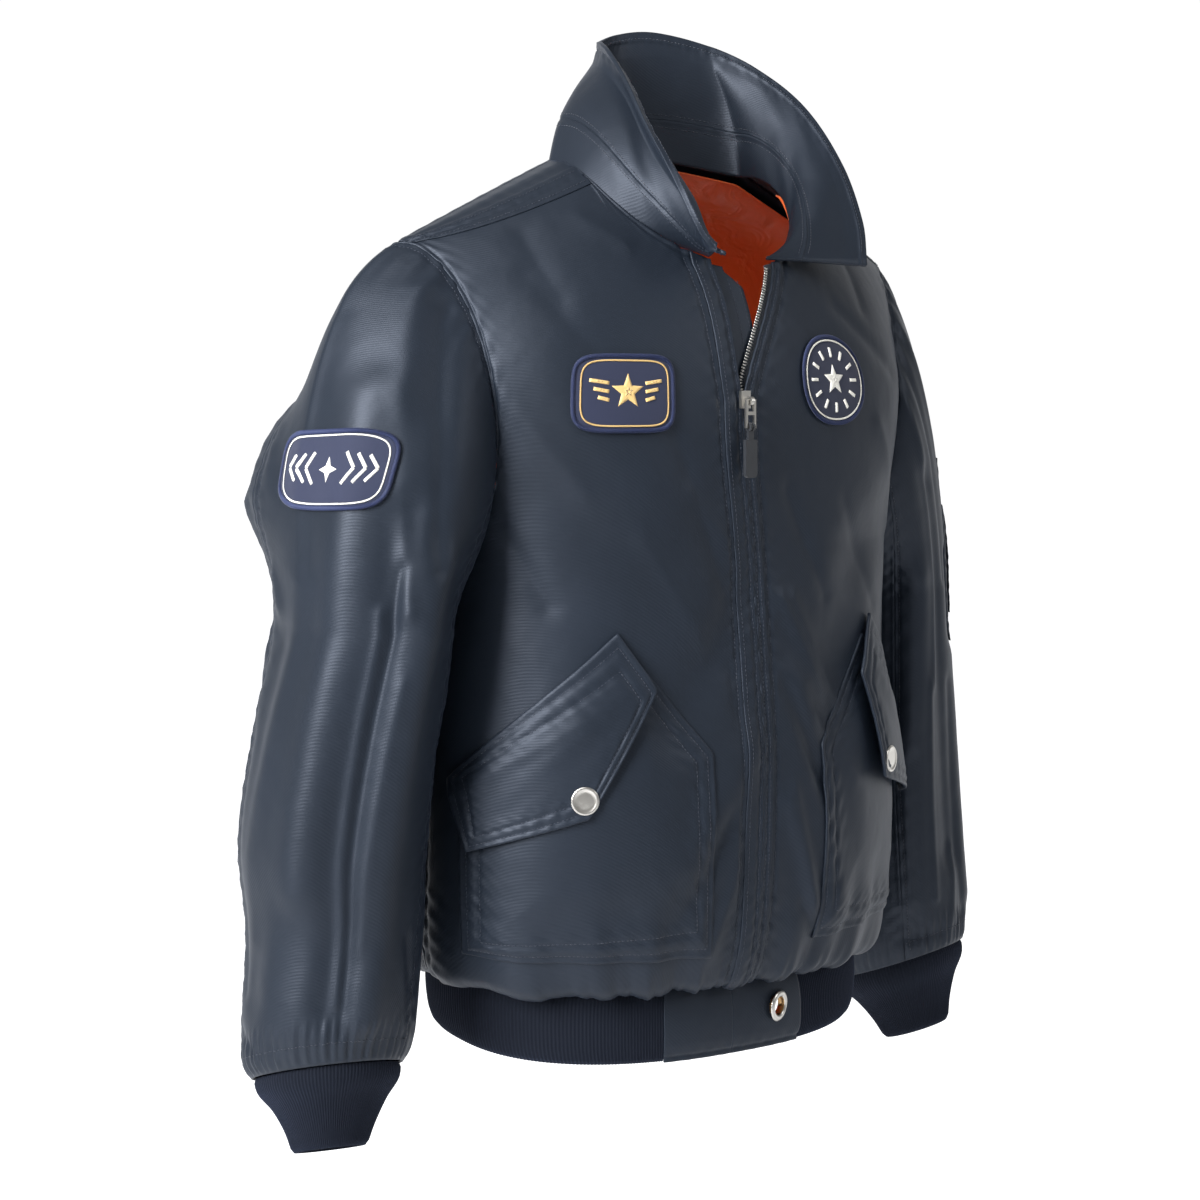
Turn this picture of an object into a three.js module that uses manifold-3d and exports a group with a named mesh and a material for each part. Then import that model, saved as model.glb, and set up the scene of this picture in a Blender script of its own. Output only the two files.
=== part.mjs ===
// A bomber jacket, filled out as if worn, in millimetres and degrees.
// +X is the wearer's left, -Y the front and +Z up. The origin is the middle of the neck base,
// level with the two high shoulder points. Side -1 is the wearer's right, side 1 the left.
import * as THREE from "three";
import { mergeVertices } from "three/addons/utils/BufferGeometryUtils.js";
import Module from "manifold-3d";

const wasm = await Module();
wasm.setup();

// Driving sizes
const SEAM = 0.3; // clear distance between two pieces at a seam
const NYLON_WALL = 2; // nylon shell with its thin wadding
const KNIT_WALL = 2.5; // folded double rib knit
const COLLAR_WALL = 3; // two layers and interlining
const STRIP_WALL = 1.2; // wind flap and sleeve pockets
const TAPE_WALL = 1;
const LINING_WALL = 1.2;
const NECK_HALF_WIDTH = 98;
const NECK_DROP_FRONT = 82;
const NECK_RISE_BACK = 14;
const SHOULDER_HALF_WIDTH = 240;
const SHOULDER_SLOPE = 0.5;
const UNDERARM_Z = -290;
const BODY_CENTRE_Y = 12;
const RIDGE_Y = 5; // the shoulder seam's place, front to back
const BODY_POWER = 2.4; // squareness of the body's level sections
const SHOULDER_POWER = { front: 2, back: 2.1 }; // fullness over the shoulder, seen from the side
const BODY_DEPTH = { front: 138, back: 123 };
const CHEST_FULLNESS = 12; // added to the front's depth half way up the chest
const ARMHOLE_INSET = 24; // how far the armhole cuts in towards the chest
const SLIDER_Z = -184;
const OPEN_HALF_GAP = 30; // half the opening between the front edges at the neck
const PLACKET = { right: 16, left: 9 }; // width of the strip along each front edge
const STRIP_LIFT = { placket: 0.8, tape: -2.8, windFlap: -5.4 }; // outer face above the shell
const TAPE_REACH = 13; // how far a zip tape reaches in behind the front
const WIND_FLAP_REACH = 10; // the same for the wind flap
const WIND_FLAP_TOP = 14; // what shows of the wind flap at its cut top corner
const ZIP_TAPE_SHOWN = 6; // zip tape and teeth beyond the left front's edge
const WIND_FLAP_SHOWN = 25; // wind flap beyond the right front's edge
const STAND_SHARE = 0.3; // the stand's share of the collar's height
const LEAF_START = 0.312; // share of the collar's height where the leaf begins
const COLLAR_SETBACK = 1.8; // the collar's base stands this far in from and above the neck edge
const UNDERARM_CLEARANCE = 1.8; // more room for the sleeve below the armhole
const ARMHOLE_GAP = 1.1; // from the body's armhole edge to the sleeve's first row
const PATCH_WALL = 1.6;
const SLIDER_V = 1.5; // height of the main zip's slider, as a level of the body
const PULL_OFF_CLOTH = 8; // from the placket to the pull's hinge
const LINK_LENGTH = 19; // from the link's upper hinge to its lower one
const EYELET_X = 43; // from the zip line to the eyelet in the left hem tab
const EYELET_W = 0.5; // the eyelet's place down the hem band
const HEM_GATHER = 1.6; // height of the gathers above the hem band

// Level sections of the body, from the folded-under hem edge (v 0) to the underarm (v 1). The hem
// hangs lower in front (tilt) and on the wearer's left (lean).
const BODY_SECTIONS = [
  { v: 0, z: -599, half: 184, front: -97, back: 131, tilt: 0.05, lean: -0.015 },
  { v: 0.03, z: -612, half: 194, front: -107, back: 138, tilt: 0.05, lean: -0.015 },
  { v: 0.07, z: -602, half: 205, front: -120, back: 146, tilt: 0.05, lean: -0.015 },
  { v: 0.16, z: -560, half: 210, front: -131, back: 149, tilt: 0.05, lean: -0.01 },
  { v: 0.35, z: -460, half: 209, front: -135, back: 146, tilt: 0.03, lean: 0 },
  { v: 0.6, z: -370, half: 206, front: -130, back: 138, tilt: 0.01, lean: 0 },
  { v: 1, z: -290, half: 205, front: -126, back: 135, tilt: 0, lean: 0 },
];

// The zip line wanders sideways a little as it hangs
const ZIP_LINE = [
  { z: -670, x: -8 },
  { z: -560, x: -7 },
  { z: -420, x: -6 },
  { z: -300, x: -9 },
  { z: -184, x: -21 },
  { z: -82, x: 0 },
  { z: 0, x: 0 },
];

// Sleeve rings, by their depth below the origin: centre x and y, half width across (rx), half
// depth front to back (ry), and how much the ring tips up towards the front and the outside
const SLEEVE_RINGS = {
  right: [
    { down: 345, x: -266, y: 2, rx: 55, ry: 84, tip: 0, rock: 0 },
    { down: 420, x: -275, y: 9, rx: 63, ry: 80, tip: 0, rock: 0 },
    { down: 500, x: -282, y: 15, rx: 67, ry: 76, tip: 0, rock: 0 },
    { down: 560, x: -284, y: 12, rx: 62, ry: 68, tip: 0.1, rock: 0.03 },
    { down: 620, x: -289, y: 10, rx: 62, ry: 64, tip: 0.28, rock: 0.08 },
    { down: 650, x: -291, y: 10, rx: 59, ry: 60, tip: 0.34, rock: 0.1 },
    { down: 661, x: -291, y: 10, rx: 53, ry: 56, tip: 0.34, rock: 0.1 },
  ],
  left: [
    { down: 345, x: 258, y: 28, rx: 48, ry: 74, tip: 0, rock: 0 },
    { down: 420, x: 264, y: 30, rx: 52, ry: 72, tip: 0, rock: 0 },
    { down: 500, x: 272, y: 32, rx: 56, ry: 68, tip: 0, rock: 0 },
    { down: 560, x: 278, y: 32, rx: 57, ry: 66, tip: 0.1, rock: 0.05 },
    { down: 620, x: 284, y: 31, rx: 58, ry: 63, tip: 0.26, rock: 0.12 },
    { down: 652, x: 289, y: 30, rx: 58, ry: 60, tip: 0.32, rock: 0.16 },
    { down: 663, x: 291, y: 30, rx: 55, ry: 56, tip: 0.32, rock: 0.16 },
  ],
};

// How the sleeve leaves the armhole: the outward lean of its path, at the sides and more on top,
// and how far the path keeps that lean
const SLEEVE_CAPS = {
  right: { middle: 0.6, top: 0.38, reach: 1 },
  left: { middle: 0.34, top: 0.12, reach: 0.66 },
};

// Knitted cuff: the half width as a share of the sleeve's, down its length
const CUFF_PROFILE = [
  { w: 0, share: 0.98 },
  { w: 0.2, share: 0.93 },
  { w: 0.42, share: 0.76 },
  { w: 0.72, share: 0.6 },
  { w: 1, share: 0.5 },
];
const CUFF_LENGTH = { right: 56, left: 64 };
const CUFF_DRIFT = { right: -2, left: 22 }; // how far the cuff's end stands outside its seam

// Knitted hem band
const HEM_BAND = [
  { w: 0, z: -599.8, half: 182, front: -94, back: 129, tilt: 0.05, lean: -0.015 },
  { w: 0.35, z: -624, half: 184, front: -101, back: 131, tilt: 0.06, lean: -0.017 },
  { w: 0.75, z: -648, half: 182, front: -102, back: 130, tilt: 0.08, lean: -0.02 },
  { w: 1, z: -661, half: 178, front: -99, back: 127, tilt: 0.09, lean: -0.02 },
];
const HEM_TAB_WIDTH = { right: 53, left: 64 };

// Where the collar's free edge stands, along the neckline from the right front edge (u -1) over
// the back of the neck (u 0) to the left front edge (u 1). The last COLLAR_ROLL of it curls
// outwards by the angle curl, and bow is how far its middle swells outwards.
const COLLAR_ROLL = 20;
const COLLAR_EDGE = [
  { u: -1, x: -66, y: -142, z: -74, bow: 2, curl: 110 },
  { u: -0.86, x: -64, y: -130, z: -28, bow: 4, curl: 140 },
  { u: -0.7, x: -59, y: -73, z: 23, bow: 7, curl: 140 },
  { u: -0.5, x: -46, y: -30, z: 63, bow: 9, curl: 120 },
  { u: -0.36, x: -36, y: 10, z: 90, bow: 8, curl: 60 },
  { u: -0.18, x: -18, y: 48, z: 102, bow: 5, curl: 15 },
  { u: 0, x: 8, y: 62, z: 112, bow: 4, curl: 0 },
  { u: 0.18, x: 42, y: 56, z: 116, bow: 4, curl: 0 },
  { u: 0.36, x: 84, y: 36, z: 106, bow: 5, curl: 0 },
  { u: 0.5, x: 107, y: 8, z: 88, bow: 6, curl: 0 },
  { u: 0.7, x: 127, y: -32, z: 52, bow: 5, curl: 0 },
  { u: 0.86, x: 131, y: -72, z: 2, bow: 4, curl: 0 },
  { u: 0.95, x: 126, y: -100, z: -46, bow: 3, curl: 0 },
  { u: 1, x: 113, y: -118, z: -79, bow: 2, curl: 0 },
];

// The largest folds of the body: ridges (+) and troughs (-) between two places on it
const BODY_FOLDS = [
  { angle0: -62, z0: -150, angle1: -20, z1: -330, width: 34, height: 4 },
  { angle0: -80, z0: -300, angle1: -34, z1: -380, width: 26, height: -3 },
  { angle0: -30, z0: -420, angle1: -10, z1: -330, width: 22, height: -4 },
  { angle0: -28, z0: -520, angle1: -8, z1: -440, width: 20, height: 4 },
  { angle0: 26, z0: -560, angle1: 12, z1: -400, width: 22, height: 5 },
  { angle0: 40, z0: -300, angle1: 24, z1: -430, width: 28, height: -4 },
  { angle0: 60, z0: -400, angle1: 58, z1: -540, width: 62, height: -5 },
  { angle0: 66, z0: -180, angle1: 30, z1: -300, width: 34, height: 3 },
  { angle0: 120, z0: -330, angle1: 160, z1: -520, width: 30, height: 5 },
  { angle0: 205, z0: -540, angle1: 240, z1: -340, width: 32, height: -5 },
  { angle0: 150, z0: -200, angle1: 175, z1: -360, width: 34, height: -4 },
  { angle0: 190, z0: -250, angle1: 215, z1: -420, width: 30, height: 4 },
];

// The largest folds of the sleeves, lengthwise and above the cuffs; angle 0 faces out, 90 the front
const SLEEVE_FOLDS = {
  right: [
    { angle0: -66, z0: -226, angle1: -62, z1: -250, width: 46, height: 38 },
    { angle0: 28, z0: -180, angle1: 34, z1: -520, width: 17, height: 6 },
    { angle0: 62, z0: -260, angle1: 58, z1: -600, width: 16, height: -6 },
    { angle0: 95, z0: -300, angle1: 84, z1: -610, width: 17, height: 5 },
    { angle0: -12, z0: -360, angle1: -4, z1: -600, width: 16, height: -3 },
    { angle0: 20, z0: -640, angle1: 110, z1: -640, width: 10, height: -4 },
    { angle0: 200, z0: -420, angle1: 170, z1: -560, width: 18, height: 4 },
    { angle0: 285, z0: -480, angle1: 240, z1: -560, width: 16, height: -5 },
    { angle0: 160, z0: -440, angle1: 166, z1: -500, width: 34, height: -8 },
  ],
  left: [
    { angle0: -72, z0: -225, angle1: -68, z1: -280, width: 40, height: 12 },
    { angle0: 40, z0: -400, angle1: 50, z1: -600, width: 17, height: 5 },
    { angle0: 80, z0: -250, angle1: 76, z1: -560, width: 16, height: -5 },
    { angle0: 108, z0: -330, angle1: 120, z1: -600, width: 16, height: 5 },
    { angle0: 15, z0: -640, angle1: 120, z1: -636, width: 10, height: -4 },
    { angle0: 190, z0: -440, angle1: 170, z1: -570, width: 18, height: 4 },
    { angle0: 280, z0: -470, angle1: 235, z1: -550, width: 16, height: -5 },
    { angle0: 150, z0: -440, angle1: 156, z1: -500, width: 34, height: -6 },
  ],
};

const COLOURS = {
  nylon: 0x2b323c,
  knit: 0x1f2a48,
  lining: 0xb5471b,
  tape: 0x20262e,
  metal: 0xcfccc6,
  rubber: 0x232a33,
  patch: 0x1f2c52,
};

// Hand pockets. Corners are [girth angle, height] on the wearer's right, mirrored on the left.
// seam is the lift of the flap's outer face at its seam, and stand how far its lower edge stands off.
const POCKETS = {
  right: {
    flap: { back: [-81, -456], top: [-45, -350], point: [-36, -391], nose: [-51, -480], foot: [-75, -506] },
    bag: { nearTop: [-42, -365], nearBend: [-20, -439], farTop: [-78, -474] },
    seam: 5,
    stand: 0,
  },
  left: {
    flap: { back: [81, -456], top: [46, -348], point: [37, -391], nose: [42, -472], foot: [72, -500] },
    bag: { nearTop: [43, -363], nearBend: [20.5, -441], farTop: [78, -474] },
    seam: 4.7,
    stand: 8,
  },
};
const POCKET_FOOT_Z = -588;
// Outer face of the pocket bag above the shell
const POCKET_LIFT = { edge: 3.9, middle: 5.6, foot: 6 };
const FLAP_LIFT = 10; // outer face of the flap above the shell, below its seam
const FLAP_WALL = 2.4;
const SNAP_PLACE = [0.86, 0.14]; // across and up the flap

// Levels of the rows of the panels. The rows near the hem and the cuffs have more columns.
const HEM_LEVELS = [0, 0.03, 0.06, 0.1, 0.15];
const BODY_LEVELS = [0.22, 0.3, 0.4, 0.5, 0.6, 0.72, 0.86, 1];
const YOKE_LEVELS = [1.08, 1.17, 1.28, 1.4, 1.52, 1.64, 1.75, 1.84, 1.91, 1.96, 1.985, 2];
const TOP_LEVEL = 1.97; // above it the strips beside the front edges end
const SLEEVE_LEVELS = [0.1, 0.22, 0.35, 0.5, 0.65, 0.82, 1, 1.15, 1.3, 1.45, 1.6, 1.74, 1.85];
const CUFF_SEAM_LEVELS = [1.92, 1.96, 2];
const LINING_LEVELS = [0.1, 0.3, 0.6, 1, 1.3, 1.6, 1.8, 1.93, 1.985];
const LINING_DROP = 10; // how deep the lining hangs inside the shell
const LINING_GAP = 1.45; // between the shell's inner face and the lining at the neck
const LINING_START = 0.1; // share of a front where its lining begins

// Angles of a sleeve's two long seams
const SLEEVE_SEAMS = { back: -36, front: 128 };

// Patches on the chest and the sleeve: middle, half sizes, and how square the outline is
const CHEST_PATCHES = {
  right: { angle: -43, z: -178, halfWidth: 39, halfHeight: 27, power: 5 },
  left: { angle: 28.7, z: -167, halfWidth: 36, halfHeight: 33, power: 2.2 },
};
const SLEEVE_PATCH = { angle: 18, z: -232, halfWidth: 54, halfHeight: 27, power: 4 };
const PATCH_LIFT = 1; // clear distance from the cloth to a patch

// Pockets on the left sleeve: the zipped one with its swell, and the pen pocket sewn on it, whose
// x and z are measured from the zipped one
const SLEEVE_POCKET = { angle: 4, z: -328, halfWidth: 50, halfHeight: 58, puff: 7, lift: 2.4 };
const PEN_POCKET = { x: 22, z: 31, halfWidth: 17, halfHeight: 66, lift: 5 };

// Main zip's slider, link and tab, and the hinge eyes between them
const SLIDER = { width: 9, depth: 2.6, height: 13, bridgeWidth: 3, bridgeDepth: 3, bridgeHeight: 5 };
const SLIDER_OFF_CLOTH = 1.9;
const HINGE = { bore: 1.9, outer: 3.4, width: 3 };
const LINK = { width: 9.4, depth: 2, upperHole: 5.4, upperHoleHeight: 6.8, lowerHole: 6.2, bars: 11.4 };
const YOKE = { outer: 3.2, width: 1.8, apart: 1.6, neckWidth: 5.2, neckHeight: 9 };
const TAB = { halfWidth: 5.5, length: 28, corner: 4, thickness: 3, top: 9.5 };

// Eyelet: half profile as radius and height along its axis, and the bore cut for it
const EYELET_BORE = 8.5;
const EYELET_PROFILE = [
  [6.4, -4.4],
  [11, -4.2],
  [11.4, -3.6],
  [7.9, -3.5],
  [7.9, 1.1],
  [11.6, 1.2],
  [11.8, 1.7],
  [10, 2.5],
  [7.6, 2.4],
  [6.4, 1.6],
  [6.4, -4.4],
];

// Snap cap: half profile as radius and height
const SNAP_PROFILE = [
  [0, 0],
  [8.2, 0],
  [9, 0.6],
  [9, 1.4],
  [8, 2.1],
  [6.6, 1.8],
  [5, 2.2],
  [0, 2.6],
];

// Small sums
const mix = (a, b, t) => a + (b - a) * t;
const clamp = (t, low = 0, high = 1) => Math.min(high, Math.max(low, t));
const smooth = (t) => t * t * (3 - 2 * t);
const rad = (degrees) => (degrees * Math.PI) / 180;
const deg = (radians) => (radians * 180) / Math.PI;
const sideName = (side) => (side < 0 ? "right" : "left");

// A table column read at a place between its rows, as a smooth curve through them.
function lookUp(table, key, at, column) {
  const last = table.length - 1;
  let i = 0;
  while (i < last - 1 && at > table[i + 1][key]) i++;
  const slopeAt = (row) => {
    const low = table[Math.max(row - 1, 0)];
    const high = table[Math.min(row + 1, last)];
    return (high[column] - low[column]) / (high[key] - low[key]);
  };
  const span = table[i + 1][key] - table[i][key];
  const t = clamp((at - table[i][key]) / span);
  const ease = smooth(t);
  const leave = t * (1 - t) * (1 - t) * span * slopeAt(i);
  const arrive = t * t * (t - 1) * span * slopeAt(i + 1);
  return mix(table[i][column], table[i + 1][column], ease) + leave + arrive;
}

// Height of all folds of a table at one place of a round form of the given radius.
function foldHeight(folds, angle, z, radius) {
  const perDegree = rad(1) * radius;
  let height = 0;
  for (const fold of folds) {
    const turn = ((((angle - fold.angle0 + 180) % 360) + 360) % 360) - 180;
    const across = turn * perDegree;
    const up = z - fold.z0;
    const alongX = (fold.angle1 - fold.angle0) * perDegree;
    const alongZ = fold.z1 - fold.z0;
    const length2 = alongX * alongX + alongZ * alongZ;
    const t = clamp((across * alongX + up * alongZ) / length2);
    const away2 = (across - t * alongX) ** 2 + (up - t * alongZ) ** 2;
    height += fold.height * Math.exp(-away2 / fold.width ** 2);
  }
  return height;
}

// Uneven gathers round an edge: the angle in degrees, the waves in a full turn.
function gather(angle, waves) {
  const turn = rad(angle);
  const main = Math.sin(waves * turn + 0.9 * Math.sin(5 * turn));
  return 0.65 * main + 0.35 * Math.sin(waves * 0.61 * turn + 1.3);
}

// Body skin
const sectionValue = (v, column) => lookUp(BODY_SECTIONS, "v", v, column);
const zipX = (z) => lookUp(ZIP_LINE, "z", z, "x");

// Half the gap between the two front edges, nothing below the slider.
function edgeGap(z) {
  const open = clamp((z - SLIDER_Z) / (-NECK_DROP_FRONT - SLIDER_Z));
  return OPEN_HALF_GAP * open ** 1.15;
}

// Place on a level section at an angle from the front middle, positive to the left.
function lowerSkin(angle, v) {
  const turn = rad(angle);
  const cos = Math.cos(turn);
  const front = BODY_CENTRE_Y - sectionValue(v, "front");
  const back = sectionValue(v, "back") - BODY_CENTRE_Y;
  const depth = cos > 0 ? front : back;
  const across = Math.abs(Math.sin(turn) / sectionValue(v, "half")) ** BODY_POWER;
  const along = Math.abs(cos / depth) ** BODY_POWER;
  const radius = (across + along) ** (-1 / BODY_POWER);
  const x = radius * Math.sin(turn);
  const y = -radius * cos;
  const z = sectionValue(v, "z") + sectionValue(v, "tilt") * y + sectionValue(v, "lean") * x;
  return new THREE.Vector3(x, BODY_CENTRE_Y + y, z);
}

// Height of the shoulder ridge over a place across the body.
function ridgeZ(x) {
  const rounded = Math.sqrt(x * x + 900);
  const datum = Math.sqrt(NECK_HALF_WIDTH ** 2 + 900);
  return (datum - rounded) * SHOULDER_SLOPE;
}

// Place above the underarm: x across, h the share of the way up to the ridge, face -1 front, 1 back.
function upperSkin(x, h, face) {
  const half = 205 + 45 * h ** 1.5;
  const chest = CHEST_FULLNESS * Math.sin(Math.PI * h) ** 2;
  const depth = face < 0 ? BODY_DEPTH.front + chest : BODY_DEPTH.back;
  const power = face < 0 ? SHOULDER_POWER.front : SHOULDER_POWER.back;
  const across = Math.max(0, 1 - Math.abs(x / half) ** BODY_POWER) ** (1 / BODY_POWER);
  const over = Math.max(0, 1 - h ** power) ** (1 / power);
  const y = mix(BODY_CENTRE_Y, RIDGE_Y, h) + face * depth * across * over;
  return new THREE.Vector3(x, y, mix(UNDERARM_Z, ridgeZ(x), h));
}

// Where a front or back edge ends at the top: on the neckline or along the shoulder seam.
function topOf(share, face, startX) {
  const neckShare = face < 0 ? 0.3 : 0.36;
  if (share >= neckShare) {
    const along = (share - neckShare) / (1 - neckShare);
    return { x: mix(NECK_HALF_WIDTH, SHOULDER_HALF_WIDTH, along), h: 1 };
  }
  if (face > 0) {
    const x = (NECK_HALF_WIDTH * share) / neckShare;
    const z = NECK_RISE_BACK * (1 - (x / NECK_HALF_WIDTH) ** 2);
    return { x, h: (z - UNDERARM_Z) / (ridgeZ(x) - UNDERARM_Z) };
  }
  const start = Math.asin(startX / NECK_HALF_WIDTH);
  const turn = mix(start, Math.PI / 2, share / neckShare);
  const x = NECK_HALF_WIDTH * Math.sin(turn);
  const z = -NECK_DROP_FRONT * Math.cos(turn);
  return { x, h: (z - UNDERARM_Z) / (ridgeZ(x) - UNDERARM_Z) };
}

// Smooth skin of one half front (face -1) or back (face 1). share runs from the middle edge to
// the side, v from the hem (0) past the underarm (1) to the top (2). startX is how far share 0
// stands from the front edge.
function bodyForm(side, share, v, face, startX = face < 0 ? PLACKET[sideName(side)] + SEAM : 0) {
  const own = Math.abs(share);
  const level = Math.min(v, 1);
  let startAngle = 0;
  if (face < 0) {
    const depth = BODY_CENTRE_Y - sectionValue(level, "front");
    const edgeX = side * zipX(sectionValue(level, "z")) + startX;
    startAngle = deg(Math.asin(edgeX / depth));
  }
  const turn = face < 0 ? mix(startAngle, 90, own) : 180 - 90 * own;
  if (v <= 1) return lowerSkin(side * turn, level);
  const t = v - 1;
  const lowX = side * lowerSkin(side * turn, 1).x;
  const top = topOf(own, face, OPEN_HALF_GAP + startX);
  const inset = ARMHOLE_INSET * 4 * t * (1 - t) * own ** 2;
  const armRise = (1 - Math.cos(Math.PI * t)) / 2;
  const h = mix(t * top.h, armRise, own ** 4);
  let x = mix(lowX, top.x, smooth(t)) - inset;
  if (face < 0) {
    const edgeTop = topOf(0, face, OPEN_HALF_GAP + startX);
    const edgeX = mix(side * lowerSkin(side * startAngle, 1).x, edgeTop.x, smooth(t));
    const edgeZ = mix(UNDERARM_Z, ridgeZ(edgeX), t * edgeTop.h);
    const wanted = side * zipX(edgeZ) + edgeGap(edgeZ) + startX;
    x += (wanted - edgeX) * (1 - own) ** 2;
  }
  return upperSkin(side * x, h, face);
}

// Outward direction of a form at (a, b), from small steps both ways. flip turns it round.
function outward(form, a, b, flip = 1) {
  const step = 0.004;
  const limit = form.top ?? Infinity;
  const upper = Math.min(b + step, limit);
  const alongA = form(a + step, b).sub(form(a - step, b));
  const alongB = form(a, upper).sub(form(a, upper - 2 * step));
  return alongA.cross(alongB).normalize().multiplyScalar(flip);
}

// Girth angle of a place on the body: 0 in the front middle, positive to the wearer's left.
const girthAngle = (place) => deg(Math.atan2(place.x, BODY_CENTRE_Y - place.y));

// Moves a place on the body outwards by its folds and gathers, and by rise.
function dressSkin(place, normal, v, face, rise, gathered) {
  const angle = girthAngle(place);
  const fade = smooth(clamp((2 - v) / 0.25)) * smooth(clamp(v / 0.12));
  const puckers = gathered * gather(angle, 30) * smooth(clamp((0.2 - v) / 0.17));
  const height = fade * foldHeight(BODY_FOLDS, angle, place.z, 165) + puckers;
  place.addScaledVector(normal, height + rise);
  place.y += (face * SEAM) / 2;
  return place;
}

// The body with its folds. rise lifts the place off the skin, or sinks it inside.
function bodyPoint(side, share, v, face, rise = 0, gathered = 0) {
  const form = (a, b) => bodyForm(side, a, b, face);
  form.top = 2;
  const own = clamp(share, 0.004, 0.994);
  const normal = outward(form, own, Math.max(v, 0.004), -side * face);
  const place = dressSkin(form(share, v), normal, v, face, rise, gathered);
  const seamY = place.z > UNDERARM_Z ? RIDGE_Y : BODY_CENTRE_Y;
  const edge = seamY + (face * SEAM) / 2;
  const nearSeam = v > 1.9 || (v < 1 && share > 0.98);
  if (nearSeam && (place.y - edge) * face < 0) place.y = edge;
  return place;
}

// The strip of body beside a front edge: inset is the distance from that edge in millimetres.
function edgePoint(side, inset, v, rise) {
  const form = (a, b) => bodyForm(side, 0, b, -1, a * 100);
  form.top = 2;
  const normal = outward(form, inset / 100, Math.max(v, 0.004), side);
  return dressSkin(form(inset / 100, v), normal, v, -1, rise, 0);
}

// The front at a girth angle and height, found by a few corrected guesses, moved out by rise.
function frontAt(side, angle, z, rise) {
  let share = clamp(Math.abs(angle) / 90, 0.05, 0.97);
  let v = z < UNDERARM_Z ? clamp((z + 610) / 320, 0.1, 1) : 1 + (z + 290) / 300;
  for (let round = 0; round < 14; round++) {
    const here = bodyForm(side, share, v, -1);
    const miss = { angle: angle - girthAngle(here), z: z - here.z };
    const step = 0.002;
    const across = bodyForm(side, share + step, v, -1);
    const up = bodyForm(side, share, v + step, -1);
    const a11 = (girthAngle(across) - girthAngle(here)) / step;
    const a12 = (girthAngle(up) - girthAngle(here)) / step;
    const a21 = (across.z - here.z) / step;
    const a22 = (up.z - here.z) / step;
    const whole = a11 * a22 - a12 * a21;
    share = clamp(share + (miss.angle * a22 - a12 * miss.z) / whole, 0.001, 0.998);
    v = clamp(v + (a11 * miss.z - miss.angle * a21) / whole, 0.05, 1.99);
  }
  return bodyPoint(side, share, v, -1, rise);
}

// Triangles between two rows of points that may differ in number. flip turns them round.
function stitch(faces, a, b, flip = false) {
  const add = (p, q, r) => (flip ? faces.push(p, r, q) : faces.push(p, q, r));
  let i = 0;
  let j = 0;
  while (i < a.length - 1 || j < b.length - 1) {
    const nextA = (i + 1) / (a.length - 1);
    const nextB = (j + 1) / (b.length - 1);
    if (j === b.length - 1 || (i < a.length - 1 && nextA <= nextB + 1e-9)) {
      add(a[i], a[i + 1], b[j]);
      i++;
    } else {
      add(a[i], b[j + 1], b[j]);
      j++;
    }
  }
}

// Six times the signed volume of a closed mesh, to tell which way it faces.
function signedVolume(points, faces) {
  let sum = 0;
  for (let i = 0; i < faces.length; i += 3) {
    const [a, b, c] = [points[faces[i]], points[faces[i + 1]], points[faces[i + 2]]];
    sum += a.dot(b.clone().cross(c));
  }
  return sum;
}

function material(kind) {
  const metal = kind === "metal";
  return new THREE.MeshStandardMaterial({
    color: COLOURS[kind],
    roughness: metal ? 0.35 : 0.6,
    metalness: metal ? 1 : 0,
    name: kind,
  });
}

function meshOf(name, kind, points, faces) {
  if (signedVolume(points, faces) < 0) {
    for (let i = 0; i < faces.length; i += 3) {
      [faces[i + 1], faces[i + 2]] = [faces[i + 2], faces[i + 1]];
    }
  }
  const geometry = new THREE.BufferGeometry().setFromPoints(points);
  geometry.setIndex(faces);
  geometry.computeVertexNormals();
  const mesh = new THREE.Mesh(geometry, material(kind));
  mesh.name = name;
  return mesh;
}

// A closed wall between rows of outer points and rows of inner points. A ring wall's rows each
// go once round, without repeating the first point.
function wall(name, kind, outer, inner, ring = false) {
  const points = [];
  const index = (rows) =>
    rows.map((row) => {
      const own = row.map((point) => points.push(point) - 1);
      if (ring) own.push(own[0]);
      return own;
    });
  const out = index(outer);
  const ins = index(inner);
  const faces = [];
  const last = out.length - 1;
  for (let k = 0; k < last; k++) {
    stitch(faces, out[k], out[k + 1]);
    stitch(faces, ins[k], ins[k + 1], true);
  }
  stitch(faces, ins[0], out[0]);
  stitch(faces, out[last], ins[last]);
  if (!ring) {
    const left = (rows) => rows.map((row) => row[0]);
    const right = (rows) => rows.map((row) => row[row.length - 1]);
    stitch(faces, left(out), left(ins));
    stitch(faces, right(ins), right(out));
  }
  return meshOf(name, kind, points, faces);
}

// Even steps from a to b, ends included.
function steps(a, b, count) {
  return Array.from({ length: count + 1 }, (_, i) => mix(a, b, i / count));
}

// A wall over a form: rows at the given b values, each with its own number of steps along a.
// surface(a, b, rise) gives a place moved off the form by rise.
function sheet(name, kind, surface, rows, thickness, lift = 0) {
  const places = (row) => row.at ?? steps(row.from, row.to, row.count);
  const layer = (rise) => rows.map((row) => places(row).map((a) => surface(a, row.b, rise)));
  return wall(name, kind, layer(lift), layer(lift - thickness));
}

// Body panels. The rows near the hem have more columns, to carry the gathers.
function panelRows(from, to, gatherCount, plainCount) {
  const row = (b, count) => ({ b, from, to, count });
  return [
    ...HEM_LEVELS.map((b) => row(b, gatherCount)),
    ...[...BODY_LEVELS, ...YOKE_LEVELS].map((b) => row(b, plainCount)),
  ];
}

function frontPanel(side) {
  const surface = (a, b, rise) => bodyPoint(side, a, b, -1, rise, rise < 0 ? 0 : HEM_GATHER);
  return sheet("front_" + sideName(side), "nylon", surface, panelRows(0, 0.9995, 22, 12), NYLON_WALL);
}

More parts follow.
